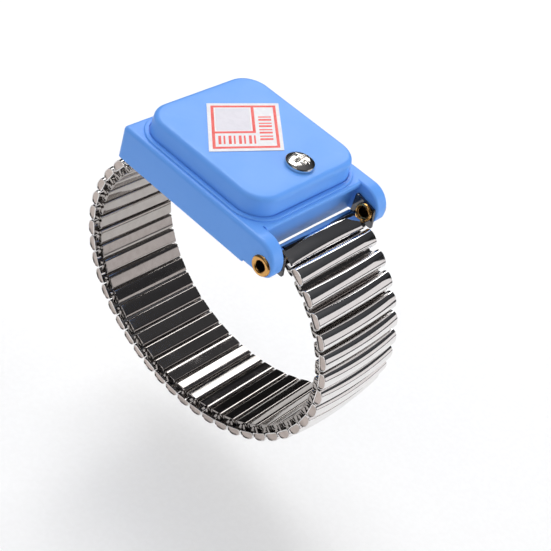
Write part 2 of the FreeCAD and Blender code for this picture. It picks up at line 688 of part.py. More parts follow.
def band_link(word, number, chain, templates):
    """One outer sleeve with its leaf spring, its staples and the inner sleeve it carries."""
    outer, inner, leaf = templates
    sleeves, joints = chain
    here, back, ahead = sleeves[number - 1], joints[number - 1], joints[number]
    gaps = band_gaps()
    row = -size("row_gap") - size("inner_height") / 2
    room = size("sleeve_leg_offset")
    height = size("sleeve_wall") + size("leg_rise")
    opened = gaps[number - 1] - size("closed_gap")
    sliding = here.local(back.point(-size("sliding_leg_offset") + opened, row))
    parts = [outer, leaf] + staples((-room, height), sliding)
    last_left = word == "left" and number == len(sleeves)
    if not last_left:
        fixed = here.local(ahead.point(-size("fixed_leg_offset"), row))
        parts += staples((room, height), fixed)
        if number not in FLEX_GAPS:
            parts.append(carried(inner, here, ahead))
    link = doc.addObject("Part::Feature", f"link_{word}_{number:02d}")
    link.Shape = Part.makeCompound(parts)
    link.Placement = here.placement()
    node(f"link_{word}_{number:02d}", link)


def carried(shape, here, there):
    """A template that stands at another station, in this station's frame."""
    return shape.transformed((here.placement().inverse() * there.placement()).toMatrix())


def flex_sleeve(word, number, chain, inner):
    sleeve = doc.addObject("Part::Feature", f"flex_sleeve_{word}_{number:02d}")
    sleeve.Shape = inner
    sleeve.Placement = chain[1][number].placement()
    node(f"flex_sleeve_{word}_{number:02d}", sleeve)


def bracket_tab(tab_left):
    """The bracket's chromed tab: a low arch over its length that drops towards the edges."""
    blank = centred_box("tab_blank", tab_left, "tab_length", "band_width",
                        "eyelet_z - tab_drop", "tab_height")
    top = "(eyelet_z - tab_drop + tab_height)"
    rise = "(tab_height - tab_side)"
    arch_radius = f"(tab_length^2/4 + {rise}^2)/(2*{rise})"
    arch = cylinder("tab_arch", "Y", ("eyelet_x - tab_back", "-band_width/2",
                                      f"{top} - {arch_radius}"), arch_radius, "band_width")
    drop = "(tab_height - tab_end_height)"
    crown_radius = f"(band_width^2/4 + {drop}^2)/(2*{drop})"
    crown = cylinder("tab_crown", "X", (tab_left, "0", f"{top} - {crown_radius}"),
                     crown_radius, "tab_length")
    return common("bracket_tab", blank, arch, crown)


def right_bracket(first_gap, inner):
    """Channel between the lugs: two ears, a web, a chromed tab and the first inner sleeve."""
    near = ear("near_ear", "-ear_outer")
    far = ear("far_ear", "ear_outer - ear_thickness")
    web_low = "eyelet_z - ear_below"
    web = centred_box("bracket_web", "eyelet_x - ear_back + web_inset",
                      "ear_back - web_inset + 2*web_front", "2*ear_outer", web_low,
                      "web_thickness")
    tab_left = "eyelet_x - tab_back - tab_length/2"
    filler = centred_box("bracket_filler", f"{tab_left} + filler_inset",
                         "tab_length - 2*filler_inset", "band_width - 2*filler_end_inset",
                         web_low, "ear_below - tab_drop + joint_overlap")
    tube = doc.addObject("Part::Feature", "bracket_tube")
    tube.Shape = inner
    tube.Placement = first_gap.placement()
    tail_start = (size("eyelet_x") + size("web_front"),
                  size("eyelet_z") - size("ear_below") + size("web_thickness") / 2)
    tail = bridge("bracket_tail", tail_start, tube_side(first_gap), size("web_thickness"))
    holes = cylinder("ear_holes", "Y", ("eyelet_x", "-case_width/2", "eyelet_z"),
                     "eyelet_barrel_radius + running_clearance", "case_width")
    ears = cut("bracket_ears", fuse("bracket_channel", near, far, web), holes)
    return node("end_bracket_right", fuse("end_bracket_right", ears, bracket_tab(tab_left),
                                          filler, tail, tube))


def tube_side(first_gap):
    """Where a bracket's plate meets the near side of its inner sleeve."""
    return first_gap.point(-size("inner_width") / 2 + size("joint_overlap"),
                           -size("row_gap") - size("inner_height") / 2)


def left_bracket(first_gap, inner):
    """Knuckle on the hidden pin, a strap and the first inner sleeve of the left chain."""
    radius = "pin_radius + knuckle_wall"
    knuckle = cylinder("knuckle", "Y", ("pin_x", "-band_width/2", "pin_z"), radius, "band_width")
    pin_hole = bore("knuckle_bore", "Y", ("pin_x", "-band_width/2", "pin_z"),
                    "pin_radius + running_clearance", "band_width")
    tube = doc.addObject("Part::Feature", "strap_tube")
    tube.Shape = inner
    tube.Placement = first_gap.placement()
    strap = bridge("strap", (size("pin_x"), size("pin_z")), tube_side(first_gap),
                   size("strap_thickness"))
    bored = cut("bored_knuckle", fuse("strap_body", knuckle, strap), pin_hole)
    return node("end_bracket_left", fuse("end_bracket_left", bored, tube))


def bridge(name, start, stop, thickness):
    """A flat plate across the band between two points of the side view."""
    made = doc.addObject("Part::Feature", name)
    span = math.hypot(stop[0] - start[0], stop[1] - start[1])
    half = size("inner_half")
    made.Shape = Part.makeBox(span, 2 * half, thickness, Vector(0, -half, -thickness / 2))
    slope = -math.degrees(math.atan2(stop[1] - start[1], stop[0] - start[0]))
    made.Placement = Placement(Vector(start[0], 0, start[1]), Rotation(Vector(0, 1, 0), slope))
    return made


def left_hinge_pin():
    return node("left_hinge_pin", cylinder("left_hinge_pin", "Y",
                                           ("pin_x", "-pin_span/2", "pin_z"), "pin_radius",
                                           "pin_span"))


def build():
    base_housing()
    top_cover()
    label()
    back_plate()
    terminal_screw()
    screw_nut()
    ring_terminal()
    resistor()
    contact_strip()
    eyelet("eyelet_near", -1)
    eyelet("eyelet_far", 1)
    left_hinge_pin()
    templates = sleeve_templates()
    chains = band_stations()
    right_bracket(chains["right"][1][0], templates[1])
    left_bracket(chains["left"][1][0], templates[1])
    for word, chain in chains.items():
        for number in range(1, len(chain[0]) + 1):
            band_link(word, number, chain, templates)
            if number in FLEX_GAPS:
                flex_sleeve(word, number, chain, templates[1])
    doc.recompute()


def write():
    failed = [thing.Name for thing in doc.Objects
              if "Invalid" in thing.State or "Error" in thing.State]
    failed += [label for label, thing in nodes.items()
               if thing.Shape.isNull() or not thing.Shape.isValid() or not thing.Shape.Solids]
    if failed:
        raise RuntimeError(f"failed objects: {failed}")
    os.makedirs("parts", exist_ok=True)
    for label, thing in nodes.items():
        thing.Shape.exportStep(f"parts/{label}.step")
    print(len(nodes), "nodes")


build()
write()
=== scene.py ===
"""Cordless wrist strap: plastic case, brass eyelets and a closed band of bright steel sleeves."""
import logging
import math
from dataclasses import dataclass, field
from enum import Enum

import bpy
import numpy as np
from mathutils import Matrix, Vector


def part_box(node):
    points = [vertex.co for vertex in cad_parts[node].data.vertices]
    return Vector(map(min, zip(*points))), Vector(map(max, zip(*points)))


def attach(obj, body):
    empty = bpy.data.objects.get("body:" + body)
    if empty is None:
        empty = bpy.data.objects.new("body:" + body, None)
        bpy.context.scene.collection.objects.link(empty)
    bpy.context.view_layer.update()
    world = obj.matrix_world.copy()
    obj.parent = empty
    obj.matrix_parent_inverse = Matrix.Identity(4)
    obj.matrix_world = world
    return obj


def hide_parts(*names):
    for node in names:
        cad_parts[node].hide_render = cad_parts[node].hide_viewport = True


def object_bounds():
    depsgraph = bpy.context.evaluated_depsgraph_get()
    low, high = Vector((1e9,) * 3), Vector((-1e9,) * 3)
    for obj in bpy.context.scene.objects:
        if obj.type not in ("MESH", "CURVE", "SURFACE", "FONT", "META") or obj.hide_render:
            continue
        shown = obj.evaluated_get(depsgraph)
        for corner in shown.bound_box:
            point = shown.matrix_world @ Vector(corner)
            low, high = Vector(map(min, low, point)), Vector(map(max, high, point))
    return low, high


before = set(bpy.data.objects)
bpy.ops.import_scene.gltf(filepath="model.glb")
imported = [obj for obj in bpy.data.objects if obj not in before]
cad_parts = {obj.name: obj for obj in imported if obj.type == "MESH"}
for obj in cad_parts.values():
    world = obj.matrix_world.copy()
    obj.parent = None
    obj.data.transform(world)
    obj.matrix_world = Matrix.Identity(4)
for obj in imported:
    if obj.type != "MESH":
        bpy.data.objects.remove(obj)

CAD_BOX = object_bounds()
MM = 0.001
SHARP_ANGLE = math.radians(38.0)
OFF_AXIS = (0.3, 0.5, 0.8)      # a direction that no turned piece has for its axis
LOG = logging.getLogger("wrist_strap")


# ---- node groups shared by the finishes ----------------------------------------------------


class Effect(Enum):
    """The shader node groups that more than one finish uses."""

    GRAIN = "fine_grain"
    SMUDGE = "handling_smudge"
    BRUSH = "brushed_lines"
    EDGE = "edge_wear"


def new_group(effect: Effect, inputs: dict[str, tuple[str, float]],
              outputs: dict[str, str]) -> bpy.types.NodeTree:
    """Starts an empty shader group.

    Args:
        effect: the group to make; its value is the group's name.
        inputs: socket name to socket type and default value.
        outputs: socket name to socket type.

    Returns:
        The group's node tree, with its input and output nodes placed.
    """
    tree = bpy.data.node_groups.new(effect.value, "ShaderNodeTree")
    for name, (kind, default) in inputs.items():
        socket = tree.interface.new_socket(name, in_out="INPUT", socket_type=kind)
        if kind == "NodeSocketFloat":
            socket.default_value = default
    for name, kind in outputs.items():
        tree.interface.new_socket(name, in_out="OUTPUT", socket_type=kind)
    tree.nodes.new("NodeGroupInput").name = "in"
    tree.nodes.new("NodeGroupOutput").name = "out"
    return tree


def noise(tree: bpy.types.NodeTree, vector: bpy.types.NodeSocket, scale: float,
          detail: float, rough: float = 0.5) -> bpy.types.NodeSocket:
    """Adds a noise texture on a vector and returns its factor.

    Args:
        tree: the tree to add to.
        vector: the coordinates, in metres.
        scale: how many features there are in a metre.
        detail: the number of octaves.
        rough: how strong the fine octaves are.

    Returns:
        The factor socket, from 0 to 1.
    """
    node = tree.nodes.new("ShaderNodeTexNoise")
    node.inputs["Scale"].default_value = scale
    node.inputs["Detail"].default_value = detail
    node.inputs["Roughness"].default_value = rough
    tree.links.new(vector, node.inputs["Vector"])
    return node.outputs["Fac"]


def ranged(tree: bpy.types.NodeTree, value: bpy.types.NodeSocket, low: float,
           high: float) -> bpy.types.NodeSocket:
    """Maps a value from a range to 0 to 1, clamped.

    Args:
        tree: the tree to add to.
        value: the value.
        low: what becomes 0.
        high: what becomes 1.

    Returns:
        The mapped value's socket.
    """
    node = tree.nodes.new("ShaderNodeMapRange")
    node.inputs["From Min"].default_value = low
    node.inputs["From Max"].default_value = high
    tree.links.new(value, node.inputs["Value"])
    return node.outputs["Result"]


def computed(tree: bpy.types.NodeTree, operation: str,
             *values: bpy.types.NodeSocket | float) -> bpy.types.NodeSocket:
    """Adds a Math node.

    Args:
        tree: the tree to add to.
        operation: the node's operation.
        values: its inputs in order, each a socket or a plain number.

    Returns:
        The result's socket.
    """
    node = tree.nodes.new("ShaderNodeMath")
    node.operation = operation
    for port, value in zip(node.inputs, values):
        if isinstance(value, float):
            port.default_value = value
        else:
            tree.links.new(value, port)
    return node.outputs[0]


def blended(tree: bpy.types.NodeTree, share: bpy.types.NodeSocket,
            *colours: bpy.types.NodeSocket | tuple[float, ...]) -> bpy.types.NodeSocket:
    """Adds a node that mixes two colours.

    Args:
        tree: the tree to add to.
        share: the second colour's share.
        colours: the two colours, each a socket or a linear RGB colour.

    Returns:
        The mixed colour's socket.
    """
    node = tree.nodes.new("ShaderNodeMix")
    node.data_type = "RGBA"
    tree.links.new(share, node.inputs["Factor"])
    for port, colour in zip("AB", colours):
        if isinstance(colour, tuple):
            node.inputs[port].default_value = (*colour, 1.0)
        else:
            tree.links.new(colour, node.inputs[port])
    return node.outputs["Result"]


def grain_group() -> bpy.types.NodeTree:
    """Fine moulding grain: two octave bands of noise added.

    Returns:
        The group: the bands' sum as a height, and the broad band as a soft mask.
    """
    tree = new_group(Effect.GRAIN, {"Vector": ("NodeSocketVector", 0.0),
                                    "Amount": ("NodeSocketFloat", 1.0)},
                     {"Height": "NodeSocketFloat", "Mask": "NodeSocketFloat"})
    vector, amount = tree.nodes["in"].outputs["Vector"], tree.nodes["in"].outputs["Amount"]
    fine = noise(tree, vector, scale=9000.0, detail=2.0)
    broad = noise(tree, vector, scale=500.0, detail=3.0)
    ends = tree.nodes["out"].inputs
    height = computed(tree, "MULTIPLY_ADD", fine, 0.6, broad)
    tree.links.new(computed(tree, "MULTIPLY", height, amount), ends["Height"])
    tree.links.new(ranged(tree, broad, 0.35, 0.65), ends["Mask"])
    return tree


def smudge_group() -> bpy.types.NodeTree:
    """Handling marks: broad noise cut to soft patches.

    Returns:
        The group: a roughness that is higher in the patches, and the patches' mask.
    """
    tree = new_group(Effect.SMUDGE, {"Vector": ("NodeSocketVector", 0.0),
                                     "Base": ("NodeSocketFloat", 0.2),
                                     "Spread": ("NodeSocketFloat", 0.1)},
                     {"Roughness": "NodeSocketFloat", "Mask": "NodeSocketFloat"})
    ports, ends = tree.nodes["in"].outputs, tree.nodes["out"].inputs
    broad = noise(tree, ports["Vector"], scale=160.0, detail=4.0, rough=0.6)
    mask = ranged(tree, broad, 0.42, 0.68)
    rough = computed(tree, "MULTIPLY_ADD", mask, ports["Spread"], ports["Base"])
    tree.links.new(rough, ends["Roughness"])
    tree.links.new(mask, ends["Mask"])
    return tree


def brush_group() -> bpy.types.NodeTree:
    """Polishing lines: noise on coordinates stretched along the band's width.

    Returns:
        The group, with the lines as a height.
    """
    tree = new_group(Effect.BRUSH, {"Vector": ("NodeSocketVector", 0.0)},
                     {"Height": "NodeSocketFloat"})
    stretch = tree.nodes.new("ShaderNodeVectorMath")
    stretch.operation = "MULTIPLY"
    stretch.inputs[1].default_value = (1.0, 0.02, 1.0)
    tree.links.new(tree.nodes["in"].outputs["Vector"], stretch.inputs[0])
    lines = noise(tree, stretch.outputs[0], scale=6000.0, detail=3.0)
    tree.links.new(lines, tree.nodes["out"].inputs["Height"])
    return tree


def edge_group() -> bpy.types.NodeTree:
    """Worn edges: where the surface is convex and a noise lets the wear through.

    Returns:
        The group, with the wear as a mask.
    """
    tree = new_group(Effect.EDGE, {"Vector": ("NodeSocketVector", 0.0)},
                     {"Mask": "NodeSocketFloat"})
    convex = tree.nodes.new("ShaderNodeNewGeometry").outputs["Pointiness"]
    spots = noise(tree, tree.nodes["in"].outputs["Vector"], scale=900.0, detail=3.0)
    worn = computed(tree, "MULTIPLY", ranged(tree, convex, 0.53, 0.62),
                    ranged(tree, spots, 0.4, 0.6))
    tree.links.new(worn, tree.nodes["out"].inputs["Mask"])
    return tree


MAKERS = {Effect.GRAIN: grain_group, Effect.SMUDGE: smudge_group, Effect.BRUSH: brush_group,
          Effect.EDGE: edge_group}


def use(tree: bpy.types.NodeTree, effect: Effect, vector: bpy.types.NodeSocket,
        **values: float) -> bpy.types.ShaderNodeGroup:
    """Places a shared group in a material, built on first use.

    Args:
        tree: the material's tree.
        effect: which group.
        vector: the coordinates that it works on.
        values: numbers for its other inputs.

    Returns:
        The group node.
    """
    node = tree.nodes.new("ShaderNodeGroup")
    node.node_tree = bpy.data.node_groups.get(effect.value) or MAKERS[effect]()
    tree.links.new(vector, node.inputs["Vector"])
    for name, number in values.items():
        node.inputs[name].default_value = number
    return node


# ---- finishes ------------------------------------------------------------------------------


@dataclass(frozen=True)
class Finish:
    """A surface finish: one Principled shader with patchy colour, roughness and bump.

    Colours are linear.  The broad patches and the worn edges take the second colour.
    """

    name: str
    colour: tuple[float, float, float]
    second: tuple[float, float, float]
    rough: float
    rough_spread: float = 0.08
    metal: float = 0.0
    patch: float = 0.4
    bump: float = 0.02
    bump_depth: float = 0.02
    brushed: bool = False
    gloss: float = 0.5

    def material(self) -> bpy.types.Material:
        """Makes the finish's material, once.

        Returns:
            The material.
        """
        name = f"finish_{self.name}"
        made = bpy.data.materials.get(name)
        if made:
            return made
        made = bpy.data.materials.new(name)
        made.use_nodes = True
        tree = made.node_tree
        shader = tree.nodes["Principled BSDF"]
        where = tree.nodes.new("ShaderNodeTexCoord").outputs["Object"]
        grain = use(tree, Effect.GRAIN, where, Amount=1.0)
        smudge = use(tree, Effect.SMUDGE, where, Base=self.rough, Spread=self.rough_spread)
        edge = use(tree, Effect.EDGE, where)
        patches = computed(tree, "MULTIPLY_ADD", grain.outputs["Mask"], self.patch,
                           edge.outputs["Mask"])
        patches.node.use_clamp = True
        colour = blended(tree, patches, self.colour, self.second)
        tree.links.new(colour, shader.inputs["Base Color"])
        tree.links.new(smudge.outputs["Roughness"], shader.inputs["Roughness"])
        shader.inputs["Metallic"].default_value = self.metal
        shader.inputs["Specular IOR Level"].default_value = self.gloss
        bump = tree.nodes.new("ShaderNodeBump")
        bump.inputs["Strength"].default_value = self.bump
        bump.inputs["Distance"].default_value = self.bump_depth * MM
        lines = use(tree, Effect.BRUSH, where) if self.brushed else grain
        tree.links.new(lines.outputs["Height"], bump.inputs["Height"])
        tree.links.new(bump.outputs["Normal"], shader.inputs["Normal"])
        return made

    def glowing(self, strength: float, tint: tuple[float, float, float],
                to_camera: bool) -> bpy.types.Material:
        """The finish's material with some light of its own.

        Args:
            strength: how bright it glows.
            tint: the glow's linear colour.
            to_camera: whether only the camera sees the glow.

        Returns:
            The material.
        """
        made = self.material()
        tree = made.node_tree
        shader = tree.nodes["Principled BSDF"]
        shader.inputs["Emission Color"].default_value = (*tint, 1.0)
        shader.inputs["Emission Strength"].default_value = strength
        if to_camera:
            path = tree.nodes.new("ShaderNodeLightPath")
            seen = computed(tree, "MULTIPLY", path.outputs["Is Camera Ray"], strength)
            tree.links.new(seen, shader.inputs["Emission Strength"])
        return made


BLUE = Finish("blue_plastic", (0.125, 0.365, 0.93), (0.135, 0.38, 0.94), 0.36, 0.08,
              patch=0.5, bump=0.2, bump_depth=0.01, gloss=0.5)
CHROME = Finish("bright_steel", (0.88, 0.865, 0.86), (0.8, 0.77, 0.75), 0.04, 0.05, metal=1.0,
                patch=0.4, bump=0.03, bump_depth=0.003, brushed=True)
# Steel of the sleeves' end caps, matte and tinted warm pink: the tint is a painted reflection of
# skin.
SLEEVE_END_SKIN_REFLECTION = Finish("sleeve_end_painted_skin_reflection", (0.62, 0.54, 0.5), (0.46, 0.39, 0.35), 0.24, 0.12,
                    metal=1.0, patch=0.6, bump=0.3, bump_depth=0.02)
INNER_STEEL = Finish("inner_steel", (0.45, 0.42, 0.4), (0.38, 0.35, 0.33), 0.08, 0.06, metal=1.0,
                     patch=0.2, bump=0.02, bump_depth=0.002, brushed=True)
# Near-black steel for the right bracket's channel: painted shade, darker than the bright steel to
# stand in for the shade inside the channel.
SHADED_CHANNEL_STEEL = Finish("bracket_steel_painted_shade", (0.11, 0.11, 0.12), (0.16, 0.16, 0.165), 0.05, 0.05,
                   metal=1.0, bump=0.03, bump_depth=0.004)
# Near-black brass for the eyelets' bores: painted shade inside the holes.
BORE_SHADE_BRASS = Finish("eyelet_bore_painted_shade", (0.05, 0.03, 0.012), (0.09, 0.05, 0.02), 0.4, 0.1,
                    metal=1.0)
SCREW_PLATE = Finish("chromed_screw", (0.92, 0.9, 0.86), (0.75, 0.72, 0.66), 0.15, 0.1,
                     metal=1.0, patch=0.4, bump=0.05, bump_depth=0.006)
BRASS = Finish("eyelet_brass", (0.86, 0.47, 0.15), (0.58, 0.29, 0.08), 0.22, 0.14, metal=1.0,
               patch=0.6, bump=0.3, bump_depth=0.02)
NUT_BRASS = Finish("nut_brass", (0.66, 0.46, 0.17), (0.5, 0.32, 0.12), 0.35, 0.1, metal=1.0)
TINNED = Finish("tinned_copper", (0.62, 0.61, 0.57), (0.5, 0.48, 0.44), 0.4, 0.12, metal=1.0,
                bump=0.3, bump_depth=0.03)
STAINLESS = Finish("brushed_stainless", (0.62, 0.62, 0.62), (0.55, 0.54, 0.53), 0.26, 0.08,
                   metal=1.0, patch=0.3, bump=0.3, bump_depth=0.015, brushed=True)
RESISTOR = Finish("resistor_lacquer", (0.55, 0.42, 0.24), (0.46, 0.34, 0.19), 0.4, 0.1)
PAPER = Finish("label_paper", (0.86, 0.85, 0.87), (0.8, 0.79, 0.82), 0.42, 0.1, patch=0.4,
               bump=0.4, bump_depth=0.02)
RED_INK = Finish("label_red", (0.8, 0.06, 0.05), (0.86, 0.11, 0.09), 0.4, 0.1, patch=0.6,
                 bump=0.2)
GREY_INK = Finish("label_grey", (0.7, 0.68, 0.74), (0.73, 0.71, 0.77), 0.4, 0.1, patch=0.5,
                  bump=0.1)
FLOOR = Finish("pale_floor", (0.9, 0.9, 0.9), (0.88, 0.88, 0.88), 0.6, 0.1, patch=0.2, bump=0.02)
PALE_CARD = Finish("pale_card", (0.02, 0.02, 0.02), (0.03, 0.03, 0.03), 0.8, 0.1, bump=0.02)
DARK_CARD = Finish("dark_card", (0.012, 0.012, 0.014), (0.02, 0.02, 0.022), 0.8, 0.1, bump=0.02)


# ---- surfaces ------------------------------------------------------------------------------


def ring_solid(name: str, rings: np.ndarray) -> bpy.types.Object:
    """A closed solid skinned over rings of points, capped flat at both ends.

    Args:
        name: the piece's name.
        rings: array (rows, columns, 3) in metres; each row is one closed ring.

    Returns:
        The new mesh object, with smooth faces and sharp edges kept by angle.
    """
    rows, columns = rings.shape[:2]
    row, column = np.meshgrid(np.arange(rows - 1), np.arange(columns), indexing="ij")
    right = (column + 1) % columns
    quads = np.stack([row * columns + column, row * columns + right,
                      (row + 1) * columns + right, (row + 1) * columns + column], axis=-1)
    faces = quads.reshape(-1, 4).tolist()
    faces.append(list(range(columns))[::-1])
    faces.append(list(range((rows - 1) * columns, rows * columns)))
    return mesh_object(name, rings.reshape(-1, 3), faces)


def torus_solid(name: str, rings: np.ndarray) -> bpy.types.Object:
    """A closed ring-shaped solid: the last row of points joins the first one.

    Args:
        name: the piece's name.
        rings: array (rows, columns, 3) in metres, closed both ways.

    Returns:
        The new mesh object.
    """
    rows, columns = rings.shape[:2]
    row, column = np.meshgrid(np.arange(rows), np.arange(columns), indexing="ij")
    down, right = (row + 1) % rows, (column + 1) % columns
    quads = np.stack([row * columns + column, row * columns + right,
                      down * columns + right, down * columns + column], axis=-1)
    return mesh_object(name, rings.reshape(-1, 3), quads.reshape(-1, 4).tolist())


def mesh_object(name: str, points: np.ndarray, faces: list[list[int]]) -> bpy.types.Object:
    """Puts points and faces into a new object with outward normals and sharp edges by angle.

    Args:
        name: the object's name.
        points: array (count, 3) in metres.
        faces: each face's corners, as numbers of points.

    Returns:
        The new mesh object.
    """
    mesh = bpy.data.meshes.new(name)
    mesh.from_pydata(points.tolist(), [], faces)
    mesh.update()
    made = bpy.data.objects.new(name, mesh)
    bpy.context.scene.collection.objects.link(made)
    outward(made)
    mesh.shade_smooth()
    mesh.set_sharp_from_angle(angle=SHARP_ANGLE)
    return made


def numbers(things: bpy.types.bpy_prop_collection, key: str, width: int) -> np.ndarray:
    """Reads one property of a whole mesh collection.

    Args:
        things: the mesh's vertices, faces, corners or triangles.
        key: the property's name.
        width: how many numbers there are for each item.

    Returns:
        Array (items, width).
    """
    flat = np.empty(len(things) * width)
    things.foreach_get(key, flat)
    return flat.reshape(-1, width)


def outward(thing: bpy.types.Object) -> None:
    """Turns a closed mesh's faces outwards when its signed volume is negative.

    The volume is a sixth of the sum of a . (b x c) over the triangles.

    Args:
        thing: the mesh object.
    """
    mesh = thing.data
    points = numbers(mesh.vertices, "co", 3)
    mesh.calc_loop_triangles()
    corners = numbers(mesh.loop_triangles, "vertices", 3).astype(int)
    a, b, c = (points[corners[:, n]] for n in range(3))
    if np.einsum("ij,ij->i", a, np.cross(b, c)).sum() < 0:
        mesh.flip_normals()


def box_mm(node: str) -> tuple[np.ndarray, np.ndarray]:
    """Reads a CAD node's box.

    Args:
        node: the node's name.

    Returns:
        Its low and its high corner in millimetres.
    """
    low, high = (np.array(corner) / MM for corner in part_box(node))
    return low, high


def half_superellipse(width: float, height: float, base_share: float, count: int,
                      top_power: float, foot_power: float) -> np.ndarray:
    """A D-section: one superellipse half above a level and a flatter half below it.

    The point at angle a is (w cos^(2/p) a, level + h sin^(2/p) a), with the power p of the
    half that the angle lies in.

    Args:
        width: full width.
        height: full height, from 0.
        base_share: the level's share of the height.
        count: number of points.
        top_power: power of the upper half.
        foot_power: power of the lower half.

    Returns:
        Array (count, 2) of points around the section.
    """
    angle = 2 * np.pi * (np.arange(count) + 0.5) / count
    cosine, sine = np.cos(angle), np.sin(angle)
    power = np.where(sine >= 0, top_power, foot_power)
    level = base_share * height
    reach = np.where(sine >= 0, height - level, level)
    across = width / 2 * np.sign(cosine) * np.abs(cosine) ** (2 / power)
    up = level + reach * np.sign(sine) * np.abs(sine) ** (2 / power)
    return np.stack([across, up], axis=-1)


def rounded_rectangle(half_x: float, half_y: float, radius: float, steps: int) -> np.ndarray:
    """The outline of a rectangle with quarter-circle corners.

    Args:
        half_x: half its size along X.
        half_y: half its size along Y.
        radius: the corners' radius.
        steps: how many points a corner has.

    Returns:
        Array (4 steps, 2) of points.
    """
    turn = np.linspace(0.0, np.pi / 2, steps)
    corners = []
    for quarter, (sx, sy) in enumerate(((1, 1), (-1, 1), (-1, -1), (1, -1))):
        angle = turn + quarter * np.pi / 2
        centre = np.array([sx * (half_x - radius), sy * (half_y - radius)])
        corners.append(centre + radius * np.stack([np.cos(angle), np.sin(angle)], axis=-1))
    return np.concatenate(corners)


def lathe(name: str, profile: np.ndarray, origin: tuple[float, float, float],
          axis: np.ndarray, steps: int = 48) -> bpy.types.Object:
    """A ring solid turned about an axis from a closed profile of (radius, distance) points.

    Args:
        name: the piece's name.
        profile: array (count, 2) in metres.
        origin: a point on the axis.
        axis: unit direction of the axis.
        steps: how many steps there are in a turn.

    Returns:
        The new mesh object.
    """
    side = np.cross(axis, OFF_AXIS)
    side /= np.linalg.norm(side)
    other = np.cross(axis, side)
    angle = 2 * np.pi * np.arange(steps) / steps
    radial = np.cos(angle)[:, None] * side + np.sin(angle)[:, None] * other
    rings = (np.asarray(origin) + radial[:, None, :] * profile[None, :, :1]
             + axis * profile[None, :, 1:])
    return torus_solid(name, rings)


def joined(name: str, parts: list[bpy.types.Object]) -> bpy.types.Object:
    """Joins meshes that already have their place into one piece.

    Args:
        name: the new piece's name.
        parts: the meshes; they are taken out of the scene.

    Returns:
        The new piece.
    """
    points, faces, base = [], [], 0
    for part in parts:
        mesh = part.data
        block = numbers(mesh.vertices, "co", 3)
        starts = numbers(mesh.polygons, "loop_start", 1)[1:, 0].astype(int)
        corners = numbers(mesh.loops, "vertex_index", 1)[:, 0].astype(int) + base
        points.append(block)
        faces += [face.tolist() for face in np.split(corners, starts)]
        base += len(block)
        bpy.data.objects.remove(part)
    return mesh_object(name, np.concatenate(points), faces)


def dress_some(thing: bpy.types.Object, finish: Finish, chosen: np.ndarray) -> None:
    """Gives some of a piece's faces a second finish.

    Args:
        thing: the piece, with its first finish on.
        finish: the second finish.
        chosen: a truth value for each face.
    """
    thing.data.materials.append(finish.material())
    thing.data.polygons.foreach_set("material_index", chosen.astype(np.int32))


def fit_out(thing: bpy.types.Object, finish: Finish, body: str, slot: str,
            *replaced: str) -> bpy.types.Object:
    """Dresses a piece, parents it to its body's empty and hides the CAD nodes that it stands for.

    Args:
        thing: the piece.
        finish: its finish.
        body: the body that it rides on.
        slot: the name of a material slot; not used.
        replaced: the CAD nodes that it stands for.

    Returns:
        The same piece.
    """
    thing.data.materials.clear()
    thing.data.materials.append(finish.material())
    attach(thing, body)
    if replaced:
        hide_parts(*replaced)
    LOG.info("%s rides on %s", thing.name, body)
    return thing


# ---- the band ------------------------------------------------------------------------------


